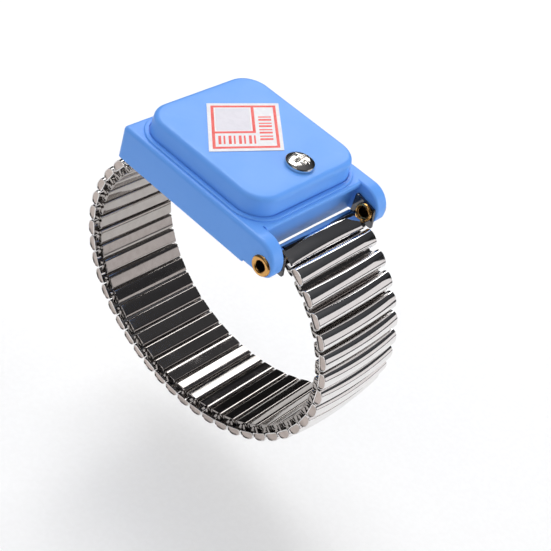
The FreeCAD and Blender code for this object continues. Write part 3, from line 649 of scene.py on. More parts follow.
@dataclass
class Loop:
    """The closed loop of the band: a flattened ellipse between the two end brackets.

    Sizes are in millimetres, as on the drawing.
    """

    aspect: float = 1.182
    start: tuple[float, float] = (18.2, 0.94)
    stop: tuple[float, float] = (-15.56, -0.6)
    sleeve_width: float = 3.25
    closed_gap: float = 0.12
    worn_gap: float = 0.7
    worn_links: float = 8.0
    links: int = 19
    samples: int = 4000
    half_widths: tuple[float, float] = (20.0, 80.0)
    fine: float = 1e-9

    def gaps(self) -> np.ndarray:
        """The gap before each sleeve of a side, from its bracket down, in millimetres."""
        number = np.arange(self.links)
        return self.closed_gap + np.maximum(0.0, self.worn_gap * (1 - number / self.worn_links))

    def curve(self, half_width: float) -> tuple[np.ndarray, np.ndarray]:
        """The loop for one half width.

        Args:
            half_width: the ellipse's half width.

        Returns:
            Arc lengths, and points (x, z).
        """
        stretch = np.array([1.0, self.aspect])
        first, last = np.array(self.start) * stretch, np.array(self.stop) * stretch
        middle, across = (first + last) / 2, last - first
        chord = np.hypot(*across)
        reach = math.sqrt(half_width ** 2 - chord ** 2 / 4)
        centre = middle + reach / chord * np.array([-across[1], across[0]])
        begin = math.atan2(*(first - centre)[::-1])
        end = math.atan2(*(last - centre)[::-1])
        sweep = (end - begin) % (2 * math.pi) - 2 * math.pi
        angle = begin + sweep * np.linspace(0.0, 1.0, self.samples + 1)
        points = (centre + half_width * np.stack([np.cos(angle), np.sin(angle)], -1)) / stretch
        steps = np.hypot(*np.diff(points, axis=0).T)
        return np.concatenate([[0.0], np.cumsum(steps)]), points

    def stations(self, side: int) -> tuple[np.ndarray, np.ndarray]:
        """Stations of one side: rows of x, z, running direction and outward normal.

        The ellipse's half width is found by bisection, so that its arc holds every link.

        Args:
            side: +1 for the right chain, -1 for the left one.

        Returns:
            The sleeves' stations and the gaps' stations, as arrays (count, 6).
        """
        gaps = self.gaps()
        total = 2 * (gaps[0] / 2 + gaps[1:].sum() + self.links * self.sleeve_width
                     + self.closed_gap / 2)
        low, high = self.half_widths
        while high - low > self.fine:
            trial = (low + high) / 2
            low, high = (trial, high) if self.curve(trial)[0][-1] < total else (low, trial)
        arcs, points = self.curve(low)
        following = np.append(gaps[1:], self.closed_gap)
        pitch = gaps / 2 + self.sleeve_width + following / 2
        joints = np.concatenate([[0.0], np.cumsum(pitch)])
        sleeves = joints[:-1] + gaps / 2 + self.sleeve_width / 2
        return tuple(self.at(arcs, points, length, side) for length in (sleeves, joints))

    @staticmethod
    def at(arcs: np.ndarray, points: np.ndarray, length: np.ndarray, side: int) -> np.ndarray:
        """Stations at given lengths from a side's bracket.

        Args:
            arcs: arc lengths of the loop's points.
            points: the loop's points (x, z).
            length: the lengths wanted.
            side: +1 for the right chain, -1 for the left one.

        Returns:
            Array (count, 6) of stations.
        """
        wanted = length if side > 0 else arcs[-1] - length
        place = np.clip(np.searchsorted(arcs, wanted), 1, len(arcs) - 1)
        before, after = points[place - 1], points[place]
        share = ((wanted - arcs[place - 1]) / (arcs[place] - arcs[place - 1]))[:, None]
        run = (after - before) * side
        run /= np.hypot(*run.T)[:, None]
        out = np.stack([-run[:, 1], run[:, 0]], axis=-1) * side
        return np.hstack([before + share * (after - before), run, out])


def placed(points: np.ndarray, station: np.ndarray) -> np.ndarray:
    """Puts points at a station.

    Args:
        points: points (along, y, out) in millimetres.
        station: the station's six numbers.

    Returns:
        The points in the world, in metres.
    """
    x, z, run_x, run_z, out_x, out_z = station
    along, across, up = points[..., 0], points[..., 1], points[..., 2]
    return MM * np.stack([x + along * run_x + up * out_x, across,
                          z + along * run_z + up * out_z], axis=-1)


def beside(station: np.ndarray, along: float, out: float) -> np.ndarray:
    """A point (x, z) at some distance from a station, in millimetres.

    Args:
        station: the station's six numbers.
        along: how far along the band.
        out: how far outward.

    Returns:
        The point.
    """
    return station[:2] + along * station[2:4] + out * station[4:6]


def half_turn(axis: np.ndarray) -> np.ndarray:
    """Half a circle of radius 1 about the origin, on the side that an axis points to.

    Args:
        axis: a unit direction.

    Returns:
        Array (9, 2) of points.
    """
    angle = np.linspace(-np.pi / 2, np.pi / 2, 9)
    return np.stack([np.cos(angle), np.sin(angle)], axis=-1) @ np.stack(
        [axis, [-axis[1], axis[0]]])


def local(spot: np.ndarray, station: np.ndarray) -> np.ndarray:
    """A world point (x, z) in a station's (along, out) frame."""
    offset = spot - station[:2]
    return np.array([offset @ station[2:4], offset @ station[4:6]])


@dataclass
class Band:
    """The expansion band: outer sleeves, inner sleeves and the staples between them."""

    loop: Loop = field(default_factory=Loop)
    width: float = 20.1
    crown: float = 2.3
    end_height: float = 1.65
    wall: float = 0.2
    cap_recess: float = 0.16
    rim_round: float = 0.05
    straight_from: float = 0.35
    rows_across: int = 17
    inner_wall: float = 0.18
    inner_recess: float = 0.2
    inner_width: float = 2.9
    inner_height: float = 1.2
    inner_half: float = 9.35
    row_gap: float = 0.25
    leg_offset: float = 0.75
    leg_height: float = 0.67
    fixed_leg: float = 1.02
    sliding_leg: float = 0.33
    staple_radius: float = 0.24
    staple_web: float = 0.3
    staple_end: float = 0.8
    flex_gaps: tuple[int, ...] = (5, 10, 15)

    @property
    def row(self) -> float:
        """How far the inner sleeves' middle lies under the outer sleeves' flat side."""
        return -self.row_gap - self.inner_height / 2

    def height_at(self, across: np.ndarray) -> np.ndarray:
        """The sleeve's crown height across the band: a shallow parabola."""
        share = 2 * across / self.width
        return self.crown - (self.crown - self.end_height) * share ** 2

    def sleeve_rings(self) -> np.ndarray:
        """Rings of one outer sleeve: D-sections lofted across the band, rims and sunk caps.

        Returns:
            Array of rings in a station's frame.
        """
        half = self.width / 2
        wall, rim = self.wall, self.rim_round
        ends = np.array([[half - self.cap_recess, wall], [half - rim, wall],
                         [half, wall - rim], [half, rim], [half - rim, 0.0]])
        reach = half - self.straight_from
        body = np.linspace(reach, -reach, self.rows_across)
        levels = np.concatenate([ends, np.stack([body, np.zeros_like(body)], -1),
                                 ends[::-1] * [-1, 1]])
        rings = []
        for across, inset in levels:
            height = float(self.height_at(np.array(across)))
            section = half_superellipse(self.loop.sleeve_width - 2 * inset, height - 2 * inset,
                                        base_share=0.3, count=44, top_power=2.3, foot_power=7.0)
            rings.append(np.stack([section[:, 0], np.full(len(section), across),
                                   section[:, 1] + inset], axis=-1))
        return np.array(rings)

    def inner_rings(self) -> np.ndarray:
        """Rings of one inner sleeve: a low superellipse tube with rounded rims and caps.

        Returns:
            Array of rings in a station's frame.
        """
        half, rim, wall = self.inner_half, self.rim_round, self.inner_wall
        levels = ((half - self.inner_recess, wall), (half - rim, wall), (half, wall - rim),
                  (half, rim), (half - rim, 0.0))
        levels = levels + tuple((-across, inset) for across, inset in levels[::-1])
        rings = []
        for across, inset in levels:
            section = half_superellipse(self.inner_width - 2 * inset,
                                        self.inner_height - 2 * inset,
                                        base_share=0.5, count=32, top_power=4.5, foot_power=4.5)
            rings.append(np.stack([section[:, 0], np.full(len(section), across), section[:, 1]
                                   + inset - self.row_gap - self.inner_height], axis=-1))
        return np.array(rings)

    def staple_rings(self, first: np.ndarray, second: np.ndarray, side: int) -> np.ndarray:
        """Rings of one staple's web: a stadium outline pushed through its thickness.

        Args:
            first: the leg's place (along, out) in the outer sleeve.
            second: the leg's place in the inner sleeve.
            side: +1 or -1, the edge of the band.

        Returns:
            Array of rings in the link's frame.
        """
        axis = (second - first) / np.linalg.norm(second - first)
        face = self.width / 2 - self.straight_from
        web, bevel, end = self.staple_web, self.rim_round, self.staple_end
        rings = []
        for depth, share in ((web, end), (web - bevel, 1.0), (bevel, 1.0), (0.0, end)):
            cap = self.staple_radius * share * half_turn(axis)
            outline = np.concatenate([second + cap, first - cap])
            across = np.full(len(outline), side * (face - depth))
            rings.append(np.stack([outline[:, 0], across, outline[:, 1]], axis=-1))
        return np.array(rings)

    def staples(self, name: str, pairs: list[tuple[np.ndarray, np.ndarray]],
                station: np.ndarray) -> bpy.types.Object:
        """Makes all the staple webs of one link as one piece.

        Args:
            name: the piece's name.
            pairs: each staple's two legs, in the station's (along, out) frame.
            station: the sleeve's station.

        Returns:
            The piece.
        """
        made = []
        for number, (first, second) in enumerate(pairs):
            for side in (-1, 1):
                rings = placed(self.staple_rings(first, second, side), station)
                made.append(ring_solid(f"{name}_{number}{side}", rings))
        return joined(name, made)

    def build(self) -> None:
        """Makes every link of both chains and the six turning inner sleeves."""
        sleeve, inner = self.sleeve_rings(), self.inner_rings()
        opened = self.loop.gaps() - self.loop.closed_gap
        for word, side in (("right", 1), ("left", -1)):
            sleeves, joints = self.loop.stations(side)
            for number in range(1, self.loop.links + 1):
                tag = f"{word}_{number:02d}"
                body = f"link_{tag}"
                here = sleeves[number - 1]
                outer = ring_solid(f"sleeve_{tag}", placed(sleeve, here))
                fit_out(outer, CHROME, body, "bright_steel", body)
                sides = numbers(outer.data.polygons, "loop_total", 1)[:, 0]
                # The end caps take the warm pink steel: painted reflection of skin.
                dress_some(outer, SLEEVE_END_SKIN_REFLECTION, sides > 4)
                slid = beside(joints[number - 1], opened[number - 1] - self.sliding_leg, self.row)
                pairs = [(np.array([-self.leg_offset, self.leg_height]), local(slid, here))]
                ahead = joints[number]
                if tag != f"left_{self.loop.links:02d}":
                    fixed = beside(ahead, -self.fixed_leg, self.row)
                    pairs.append((np.array([self.leg_offset, self.leg_height]),
                                  local(fixed, here)))
                    tube = ring_solid(f"inner_{tag}", placed(inner, ahead))
                    if number in self.flex_gaps:
                        node = f"flex_sleeve_{tag}"
                        fit_out(tube, INNER_STEEL, node, "bright_steel", node)
                    else:
                        fit_out(tube, INNER_STEEL, body, "bright_steel")
                webs = self.staples(f"staples_{tag}", pairs, here)
                fit_out(webs, INNER_STEEL, body, "bright_steel")


# ---- the case ------------------------------------------------------------------------------


@dataclass
class Case:
    """The plastic case: base and cover, the label and the small metal parts on them."""

    cover_corner: float = 5.0
    cover_edge: float = 1.0
    cover_draft: float = 0.2
    least_corner: float = 0.4
    rim_height: float = 0.35
    label_long: float = 22.3
    label_short: float = 16.7
    label_turn: float = 11.0
    label_centre: tuple[float, float] = (-5.2, -0.3)
    frame_edge: float = 0.05
    frame_line: float = 0.04
    window_edge: float = 0.6
    window_foot: float = 0.4
    window_gap: float = 0.02
    ink_height: float = 0.012
    grey_height: float = 0.008
    bars: int = 8
    bar_ends: tuple[float, float] = (0.14, 0.31)
    mark_ends: tuple[float, float] = (0.69, 0.87)
    mark_shift: float = 0.08
    bar_pitch: float = 0.068
    bar_widths: tuple[float, float] = (0.038, 0.024)
    eyelet_bore: float = 0.95
    eyelet_barrel: float = 1.25
    eyelet_rise: float = 0.4
    # How far past the bore the painted shade of the hole reaches.
    bore_shade_edge: float = 0.06
    clinch_inset: float = 0.2
    dome_share: float = 0.97
    dome_fall: float = 0.5
    dome_power: float = 3.2
    rim_share: float = 0.42
    cross_reach: float = 1.7
    cross_half: float = 0.3
    cross_depth: float = 0.75
    cross_wall: float = 0.035
    cross_power: float = 0.45
    shank_start: float = 0.1
    shank_radius: float = 1.5
    ridges: int = 45
    ridge_depth: float = 0.14
    tip_length: float = 0.4
    tip_radius: float = 1.1

    def cover(self) -> None:
        """The cover: rounded rectangles stacked up a profile with a rounded top edge."""
        low, high = box_mm("top_cover")
        foot = box_mm("base_housing")[1][2] - self.rim_height
        half = (high[:2] - low[:2]) / 2
        centre = (high[:2] + low[:2]) / 2
        edge = self.cover_edge
        turn = np.linspace(0.0, np.pi / 2, 9)
        draft = self.cover_draft
        levels = [(0.0, foot), (draft / 2, (foot + high[2]) / 2)]
        levels += [(draft + edge * (1 - math.cos(a)), high[2] - edge * (1 - math.sin(a)))
                   for a in turn]
        levels += [(share * half[1], high[2]) for share in (0.2, 0.5, 0.8)]
        rings = []
        for inset, height in levels:
            radius = max(self.cover_corner - inset, self.least_corner)
            outline = rounded_rectangle(half[0] - inset, half[1] - inset, radius, steps=14)
            rings.append(np.column_stack([outline + centre, np.full(len(outline), height)]))
        cover = ring_solid("cover_shell", MM * np.array(rings))
        fit_out(cover, BLUE, "case", "blue_plastic", "top_cover")

    def eyelets(self) -> None:
        """The two eyelets: a domed outer flange, a barrel and a clinched inner flange, with
        painted shade in the bore.

        The outer flange's section is a half ellipse between the bore and its outer radius.
        """
        for name, side in (("eyelet_near", -1), ("eyelet_far", 1)):
            low, high = box_mm(name)
            centre, outer, length = (low + high) / 2, (high[0] - low[0]) / 2, high[1] - low[1]
            bore, barrel, rise = self.eyelet_bore, self.eyelet_barrel, self.eyelet_rise
            turn = np.linspace(0.0, np.pi, 13)
            dome = np.stack([(bore + outer) / 2 - (outer - bore) / 2 * np.cos(turn),
                             rise * (1 - np.sin(turn))], axis=-1)
            inner = outer - self.clinch_inset
            clinch = np.stack([(bore + inner) / 2 + (inner - bore) / 2 * np.cos(turn),
                               length - rise * (1 - np.sin(turn))], axis=-1)
            shoulder = np.array([[barrel, rise], [barrel, length - rise]])
            profile = np.concatenate([dome, shoulder, clinch])
            start = (centre[0], low[1] if side < 0 else high[1], centre[2])
            ring = lathe(name + "_ring", MM * profile, tuple(MM * n for n in start),
                         np.array([0.0, -float(side), 0.0]))
            fit_out(ring, BRASS, "case", "brass", name)
            # The faces in the bore take the near-black brass: painted shade in the hole.
            middle = numbers(ring.data.polygons, "center", 3)[:, [0, 2]] - MM * centre[[0, 2]]
            dress_some(ring, BORE_SHADE_BRASS, np.hypot(*middle.T) < MM * (bore + self.bore_shade_edge))

    def screw(self) -> None:
        """The terminal screw: a low dome with a cross recess, and a ridged shank.

        The dome's height is 1 - fall (r/R)^power of its rise.  The recess takes away a
        smooth cross: a logistic step of the distance to the nearer arm, times a depth that
        tapers to the arms' ends.
        """
        low, high = box_mm("terminal_screw")
        centre, radius = (low + high) / 2, (high[0] - low[0]) / 2
        seat = box_mm("top_cover")[1][2]
        rise = high[2] - seat
        angle = 2 * np.pi * np.arange(96) / 96
        spread = np.linspace(0.02, 1.0, 44)
        reach, around = np.meshgrid(radius * self.dome_share * spread, angle, indexing="ij")
        across, along = reach * np.cos(around), reach * np.sin(around)
        dome = seat + rise * (1 - self.dome_fall * (reach / radius) ** self.dome_power)
        arm = np.minimum(np.abs(across), np.abs(along))
        taper = np.clip(1 - reach / self.cross_reach, 0, 1) ** self.cross_power
        depth = taper * self.cross_depth
        wall = 1 / (1 + np.exp((arm - self.cross_half) / self.cross_wall))
        top = np.stack([across, along, dome - depth * wall], axis=-1)
        under, thread = self.shank_start, self.shank_radius
        steps = np.arange(self.ridges)
        ridged = np.stack([thread - self.ridge_depth * (steps % 2),
                           np.linspace(seat - under, low[2] + self.tip_length, self.ridges)],
                          axis=-1)
        edge = [[radius, seat + self.rim_share * rise], [radius, seat + under],
                [radius - under, seat], [thread, seat]]
        profile = np.concatenate([edge, ridged, [[self.tip_radius, low[2]]]])
        turn = np.stack([np.cos(angle), np.sin(angle)], axis=-1)
        side = np.concatenate([profile[:, None, :1] * turn,
                               np.repeat(profile[:, None, 1:], len(angle), axis=1)], axis=-1)
        rings = np.concatenate([top, side])
        rings[..., :2] += centre[:2]
        made = ring_solid("screw_with_cross", MM * rings)
        fit_out(made, SCREW_PLATE, "case", "chrome_screw", "terminal_screw")

    def printed(self) -> None:
        """The label: paper, a red frame, a grey window and plain bars in place of words.

        Its flat places are shares of the paper's two sides.
        """
        low, top = (corner[2] for corner in box_mm("label"))
        ink, grey = top + self.ink_height, top + self.grey_height
        self.patch("label_sheet", (0.0, 0.0, 1.0, 1.0), low, top, PAPER, "label")
        edge, line = self.frame_edge, self.frame_line
        inside, far = edge + line, 1 - edge
        side, foot = self.window_edge, self.window_foot
        strips = {"bottom": (edge, edge, far, inside), "top": (edge, far - line, far, far),
                  "left": (edge, inside, inside, far - line),
                  "right": (far - line, inside, far, far - line),
                  "window_side": (side, foot, side + line, far - line),
                  "window_foot": (inside, foot - line, side + line, foot)}
        for word, spot in strips.items():
            self.patch(f"label_red_{word}", spot, top, ink, RED_INK)
        gap = self.window_gap
        self.patch("label_window", (inside + gap, foot + gap, side - gap, far - line - gap),
                   top, grey, GREY_INK)
        bars, marks = self.bar_ends, self.mark_ends
        for number in range(self.bars):
            left = inside + line + number * self.bar_pitch
            wide = self.bar_widths[number % 2]
            self.patch(f"label_bar_{number}", (left, bars[0], left + wide, bars[1]), top, ink,
                       RED_INK)
            raised = left + self.mark_shift
            self.patch(f"label_mark_{number}", (marks[0], raised, marks[1], raised + wide),
                       top, ink, RED_INK)

    def patch(self, name: str, spot: tuple[float, float, float, float], low: float, high: float,
              finish: Finish, *replaced: str) -> None:
        """One flat patch of the label.

        Args:
            name: the piece's name.
            spot: low and high corner in shares of the label's two sides.
            low: underside height in millimetres.
            high: top height in millimetres.
            finish: the patch's finish.
            replaced: the CAD node that it stands for, if any.
        """
        turn = math.radians(self.label_turn)
        spin = np.array([[math.cos(turn), -math.sin(turn)], [math.sin(turn), math.cos(turn)]])
        left = spin @ np.array([-self.label_short / 2, 0.0])
        far = spin @ np.array([0.0, self.label_long / 2])
        corner = np.array(self.label_centre) + left
        side, up = -far - left, far - left
        outline = np.array([corner + (1 - b) * side + a * up for a, b in
                            ((spot[0], spot[1]), (spot[2], spot[1]), (spot[2], spot[3]),
                             (spot[0], spot[3]))])
        rings = [np.column_stack([outline, np.full(4, height)]) for height in (low, high)]
        made = ring_solid(name, MM * np.array(rings))
        fit_out(made, finish, "case", "label_paper", *replaced)

    def carried_over(self) -> None:
        """Gives each CAD node that stays its finish."""
        finishes = {"base_housing": BLUE, "back_plate": STAINLESS, "screw_nut": NUT_BRASS,
                    "ring_terminal": TINNED, "resistor_body": RESISTOR,
                    "resistor_leads": TINNED, "contact_strip": TINNED,
                    "left_hinge_pin": STAINLESS}
        for name, finish in finishes.items():
            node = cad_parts[name]
            for slot in node.material_slots:
                slot.material = finish.material()
            LOG.info("%s keeps its CAD shape", name)

    def build(self) -> None:
        """Makes the cover, the eyelets, the screw and the label, and dresses the CAD nodes."""
        self.cover()
        self.eyelets()
        self.screw()
        self.printed()
        self.carried_over()


@dataclass
class Brackets:
    """The folded end pieces that tie the band to the case."""

    ear_thickness: float = 0.6
    ear_power: int = 14
    bevel: float = 0.08
    tab_height: float = 1.5
    tab_end_height: float = 1.1
    tab_back: tuple[float, float] = (-2.3, -0.75)
    tab_front: tuple[float, float] = (-0.2, 0.35)
    riser_back: float = 0.75
    riser_drop: float = 0.4
    riser_thickness: float = 1.6
    riser_inset: float = 1.0
    web_thickness: float = 0.4
    web_inset: float = 0.5
    web_trim: float = 0.1
    tail_lap: float = 0.2
    web_front: float = 0.6
    ear_back: float = 2.8
    ear_front: float = 2.5
    ear_above: float = 2.4
    ear_below: float = 2.3
    ear_shoulder: float = 1.8
    ear_shoulder_drop: float = 0.9
    eye: float = 1.29
    knuckle: float = 1.35
    knuckle_bevel: float = 0.1
    pin_play: float = 0.04
    strap: float = 0.8
    strap_start: float = 1.1
    strap_lap: float = 0.3

    def ear(self, name: str, centre: np.ndarray, low: float) -> bpy.types.Object:
        """One ear: a plate whose outline is a four-sided shape seen from the eyelet's axis.

        At angle t the outline's radius is a soft minimum of the four sides' distances over
        cos(t - side's angle), so that the corners come out round.

        Args:
            name: the piece's name.
            centre: the eyelet's axis (x, z) in millimetres.
            low: the plate's low face along Y.

        Returns:
            The plate, with its hole.
        """
        slant = math.hypot(self.ear_front - self.ear_shoulder,
                           self.ear_above - self.ear_shoulder_drop + self.ear_below)
        lean = math.asin((self.ear_front - self.ear_shoulder) / slant)
        roof = math.atan2(self.ear_shoulder_drop, self.ear_back + self.ear_shoulder)
        front = (self.ear_front - self.ear_below * math.tan(lean)) * math.cos(lean)
        ridge = (self.ear_above - self.ear_back * math.tan(roof)) * math.cos(roof)
        sides = ((front, lean), (ridge, math.pi / 2 - roof), (self.ear_back, math.pi),
                 (self.ear_below, -math.pi / 2))
        angle = 2 * np.pi * np.arange(96) / 96
        power = self.ear_power
        inverse = sum(np.maximum(np.cos(angle - way), 1e-3) ** power / distance ** power
                      for distance, way in sides)
        outline = inverse ** (-1 / power)
        bevel, eye = self.bevel, np.full_like(angle, self.eye)
        near, far = 0.0, self.ear_thickness
        profile = ((outline - bevel, near), (outline, near + bevel), (outline, far - bevel),
                   (outline - bevel, far), (eye + bevel, far), (eye, far - bevel),
                   (eye, near + bevel), (eye + bevel, near))
        rows = [np.stack([centre[0] + radius * np.cos(angle), np.full_like(angle, low + depth),
                          centre[1] + radius * np.sin(angle)], axis=-1)
                for radius, depth in profile]
        return torus_solid(name, MM * np.array(rows))

    @staticmethod
    def plate(name: str, start: np.ndarray, stop: np.ndarray, thickness: float,
              half: float) -> bpy.types.Object:
        """A flat plate across the band, with rounded sides.

        Args:
            name: the piece's name.
            start: the middle of one side (x, z).
            stop: the middle of the other side.
            thickness: the plate's thickness.
            half: half its size across the band.

        Returns:
            The plate.
        """
        axis = (stop - start) / np.linalg.norm(stop - start)
        cap = thickness / 2 * half_turn(axis)
        outline = np.concatenate([stop + cap, start - cap])
        rings = [np.column_stack([outline[:, 0], np.full(len(outline), y), outline[:, 1]])
                 for y in (-half, half)]
        return ring_solid(name, MM * np.array(rings))

    def tab(self, band: Band, centre: np.ndarray, first: np.ndarray) -> bpy.types.Object:
        """The bracket's bright tab: a low arch lofted across the band, up to the first sleeve.

        Args:
            band: the band, for its width.
            centre: the eyelet's axis (x, z) in millimetres.
            first: the first sleeve's station.

        Returns:
            The tab.
        """
        half, bevel = band.width / 2, self.bevel
        past, up = self.tab_front
        front = beside(first, past - band.loop.sleeve_width / 2, up)
        back = centre + self.tab_back
        axis = front - back
        length = float(np.linalg.norm(axis))
        axis /= length
        frame_of = np.stack([axis, [-axis[1], axis[0]]])
        spots = np.linspace(half - bevel, bevel - half, band.rows_across)
        rings = []
        for across in (half, *spots, -half):
            inset = bevel if abs(across) == half else 0.0
            height = self.tab_height - (self.tab_height - self.tab_end_height) * (
                across / half) ** 2
            section = half_superellipse(length - 2 * inset, height - 2 * inset,
                                        base_share=0.2, count=36, top_power=2.0, foot_power=6.0)
            outline = (back + front) / 2 + (section + [0.0, inset]) @ frame_of
            rings.append(np.column_stack([outline[:, 0], np.full(len(outline), across),
                                          outline[:, 1]]))
        return ring_solid("bracket_tab", MM * np.array(rings))

    def right(self, band: Band) -> None:
        """The right bracket: ears, web, tail and the first inner sleeve, with a bright tab.

        Args:
            band: the band that it holds.
        """
        low, high = box_mm("eyelet_near")
        centre = ((low + high) / 2)[[0, 2]]
        joint = band.loop.stations(1)[1][0]
        face = box_mm("end_bracket_right")[1][1]
        web, trim = self.web_thickness, self.web_trim
        floor = centre[1] - self.ear_below + web / 2
        side = beside(joint, self.tail_lap - band.inner_width / 2, band.row)
        bend = np.array([centre[0] + self.web_front, floor])
        heel = np.array([centre[0] - self.ear_back + self.web_inset, floor])
        riser = np.array([centre[0] - self.riser_back, floor])
        riser_top = centre - [self.riser_back, self.riser_drop]
        parts = [self.ear("near_ear", centre, -face),
                 self.ear("far_ear", centre, face - self.ear_thickness),
                 self.plate("web", heel, bend, web, face - trim),
                 self.plate("riser", riser, riser_top, self.riser_thickness,
                            band.width / 2 - self.riser_inset),
                 self.plate("tail", bend, side, web, band.inner_half),
                 ring_solid("first_tube", placed(band.inner_rings(), joint))]
        channel = joined("bracket_channel", parts)
        # The whole channel takes the near-black steel: painted shade for the shadowed channel.
        fit_out(channel, SHADED_CHANNEL_STEEL, "bracket_right", "bright_steel", "end_bracket_right")
        first = band.loop.stations(1)[0][0]
        fit_out(self.tab(band, centre, first), CHROME, "bracket_right", "bright_steel")

    def left(self, band: Band) -> None:
        """The left bracket: a knuckle on the pin, a strap and the first inner sleeve.

        Args:
            band: the band that it holds.
        """
        low, high = box_mm("left_hinge_pin")
        pin, radius = ((low + high) / 2)[[0, 2]], (high[0] - low[0]) / 2 + self.pin_play
        joint = band.loop.stations(-1)[1][0]
        half, outer, bevel = band.width / 2, self.knuckle, self.knuckle_bevel
        far = 2 * half
        profile = np.array([[radius, bevel], [radius, far - bevel], [radius + bevel, far],
                            [outer - bevel, far], [outer, far - bevel], [outer, bevel],
                            [outer - bevel, 0.0], [radius + bevel, 0.0]])
        side = beside(joint, self.strap_lap - band.inner_width / 2, band.row)
        towards = (side - pin) / np.linalg.norm(side - pin)
        parts = [lathe("knuckle", MM * profile, (MM * pin[0], -MM * half, MM * pin[1]),
                       np.array([0.0, 1.0, 0.0])),
                 self.plate("strap", pin + self.strap_start * towards, side, self.strap,
                            band.inner_half),
                 ring_solid("first_tube", placed(band.inner_rings(), joint))]
        made = joined("bracket_strap", parts)
        fit_out(made, CHROME, "bracket_left", "bright_steel", "end_bracket_left")

    def build(self, band: Band) -> None:
        """Makes both brackets.

        Args:
            band: the band that they hold.
        """
        self.right(band)
        self.left(band)


# ---- studio --------------------------------------------------------------------------------


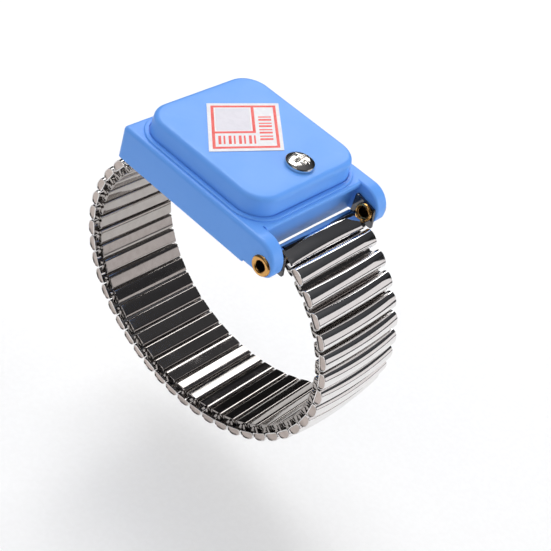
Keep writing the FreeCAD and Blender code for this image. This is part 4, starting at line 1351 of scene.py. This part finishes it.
@dataclass
class Studio:
    """Pale floor, soft lights, a plain world and the camera."""

    eye: tuple[float, float, float] = (92.58, -139.04, 125.39)
    right: tuple[float, float, float] = (0.7025, 0.6654, 0.2525)
    forward: tuple[float, float, float] = (-0.3873, 0.6551, -0.6487)
    focal: float = 1170.37
    frame_side: float = 551.0
    floor_drop: float = 0.0185
    floor_glow: float = 0.08
    floor_half: float = 3.0
    floor_thickness: float = 0.01
    card_tint: tuple[float, float, float] = (1.0, 0.965, 0.97)
    lit_radius: float = 0.3
    room_radius: float = 1.2
    room_wall: float = 0.55
    room_thin: float = 0.01
    ring_height: float = 0.0006

    def camera(self) -> None:
        """The camera, from its place, two directions and its focal length."""
        data = bpy.data.cameras.new("camera")
        data.sensor_width = 36.0
        data.lens = 36.0 * self.focal / self.frame_side
        data.clip_start = 0.005
        data.clip_end = 50.0
        camera = bpy.data.objects.new("camera", data)
        bpy.context.scene.collection.objects.link(camera)
        ahead = np.array(self.forward) / np.linalg.norm(self.forward)
        side = np.array(self.right) - ahead * np.dot(self.right, ahead)
        side /= np.linalg.norm(side)
        up = np.cross(side, ahead)
        turn = Matrix(np.stack([side, up, -ahead], axis=1).tolist()).to_4x4()
        camera.matrix_world = Matrix.Translation([MM * n for n in self.eye]) @ turn
        bpy.context.scene.camera = camera

    def floor(self) -> None:
        """A wide pale floor, as far below the band as the band comes down when stretched."""
        low = CAD_BOX[0][2] - self.floor_drop
        square = self.floor_half * np.array([[-1.0, -1.0], [1.0, -1.0], [1.0, 1.0], [-1.0, 1.0]])
        rings = [np.column_stack([square, np.full(4, z)])
                 for z in (low - self.floor_thickness, low)]
        made = ring_solid("floor", np.array(rings))
        glowing = FLOOR.glowing(self.floor_glow, (1.0, 1.0, 1.0), to_camera=True)
        made.data.materials.append(glowing)

    def dark_room(self) -> None:
        """What the bright steel mirrors beyond the lit floor: a dark ring, seen in gloss only.

        The ring is turned from a profile that runs out along the floor and up to a low wall.
        """
        low = CAD_BOX[0][2] - self.floor_drop + self.ring_height
        near, far, wall, thin = self.lit_radius, self.room_radius, self.room_wall, self.room_thin
        foot = low - self.ring_height / 2
        profile = np.array([[near, low], [far, low], [far, wall], [far + thin, wall],
                            [far + thin, foot], [near, foot]])
        made = lathe("dark_room", profile, (0.0, 0.0, 0.0), np.array([0.0, 0.0, 1.0]), steps=64)
        made.data.materials.append(DARK_CARD.material())
        self.mirrored_only(made)

    @staticmethod
    def mirrored_only(thing: bpy.types.Object) -> None:
        """Stages a thing that only glossy surfaces see.

        Args:
            thing: the mesh object.
        """
        thing.visible_camera = thing.visible_diffuse = thing.visible_shadow = False
        thing.visible_transmission = thing.visible_volume_scatter = False

    @staticmethod
    def facing(place: tuple[float, float, float],
               along: tuple[float, float, float]) -> Matrix:
        """Where a panel stands so that it faces the case.

        Args:
            place: its centre in metres.
            along: the direction that its first side runs in, as near as it can.

        Returns:
            The panel's matrix; its own Z points away from the case.
        """
        back = np.array(place) / np.linalg.norm(place)
        side = np.array(along) - back * np.dot(along, back)
        side /= np.linalg.norm(side)
        turn = Matrix(np.stack([side, np.cross(back, side), back], axis=1).tolist()).to_4x4()
        return Matrix.Translation(place) @ turn

    def card(self, name: str, place: tuple[float, float, float], size: tuple[float, float],
             tone: float, along: tuple[float, float, float]) -> None:
        """One pale card that the bright steel mirrors.

        Args:
            name: the card's name.
            place: its centre in metres.
            size: its two sides in metres.
            tone: how bright it looks.
            along: the direction that its first side runs in, as near as it can.
        """
        corners = np.array([[-1, -1, 0], [1, -1, 0], [1, 1, 0], [-1, 1, 0]]) * [*size, 0.0] / 2
        where = np.array(self.facing(place, along))
        made = mesh_object(name, corners @ where[:3, :3].T + where[:3, 3], [[0, 1, 2, 3]])
        made.data.materials.append(PALE_CARD.glowing(tone, self.card_tint, to_camera=False))
        self.mirrored_only(made)

    def light(self, name: str, place: tuple[float, float, float], size: tuple[float, float],
              power: float, along: tuple[float, float, float],
              mirrored: bool = True) -> None:
        """One soft panel that faces the case.

        Args:
            name: the light's name.
            place: its centre in metres.
            size: its two sides in metres.
            power: its power in watts.
            along: the direction that its first side runs in, as near as it can.
            mirrored: whether glossy surfaces see it.
        """
        data = bpy.data.lights.new(name, "AREA")
        data.shape = "RECTANGLE"
        data.size, data.size_y = size
        data.energy = power
        lamp = bpy.data.objects.new(name, data)
        bpy.context.scene.collection.objects.link(lamp)
        lamp.visible_camera = False
        lamp.visible_glossy = mirrored
        lamp.matrix_world = self.facing(place, along)

    def world(self) -> None:
        """The room: pale to the camera, even for soft light, and dark in the mirrors."""
        world = bpy.data.worlds.new("studio")
        bpy.context.scene.world = world
        world.use_nodes = True
        tree = world.node_tree
        where = tree.nodes.new("ShaderNodeTexCoord").outputs["Generated"]
        parts = tree.nodes.new("ShaderNodeSeparateXYZ")
        tree.links.new(where, parts.inputs[0])
        ramp = tree.nodes.new("ShaderNodeValToRGB")
        stops = ramp.color_ramp.elements
        stops[0].position, stops[0].color = 0.3, (0.02, 0.02, 0.022, 1.0)
        stops[1].position, stops[1].color = 1.0, (0.12, 0.12, 0.125, 1.0)
        middle = stops.new(0.72)
        middle.color = (0.06, 0.062, 0.068, 1.0)
        tree.links.new(parts.outputs["Z"], ramp.inputs["Fac"])
        path = tree.nodes.new("ShaderNodeLightPath").outputs
        soft = blended(tree, path["Is Glossy Ray"], (0.52, 0.52, 0.53), ramp.outputs["Color"])
        seen = blended(tree, path["Is Camera Ray"], soft, (0.97, 0.97, 0.97))
        shade = tree.nodes["Background"]
        tree.links.new(seen, shade.inputs["Color"])

    def build(self) -> None:
        """Sets up the camera, the floor and the light."""
        bpy.context.scene.view_settings.view_transform = "Standard"
        self.camera()
        self.floor()
        self.dark_room()
        self.world()
        across, right = (0.0, 1.0, 0.0), (0.71, 0.54, 0.16)
        self.light("key_panel", (-0.35, 0.15, 0.7), (0.45, 0.45), 2.7, across)
        self.light("right_panel", right, (0.6, 0.45), 3.4, across, mirrored=False)
        self.card("right_card", right, (0.7, 0.55), 0.8, across)
        self.light("left_strip", (-0.42, 0.59, 0.53), (0.6, 0.2), 1.5, across)
        self.light("front_panel", (0.1, -0.7, 0.5), (0.3, 0.5), 0.5, across)


def main() -> None:
    """Builds the strap and its studio."""
    logging.basicConfig(level=logging.INFO, format="%(name)s: %(message)s")
    Studio().build()
    Case().build()
    band = Band()
    band.build()
    Brackets().build(band)


if __name__ == "__main__":
    main()
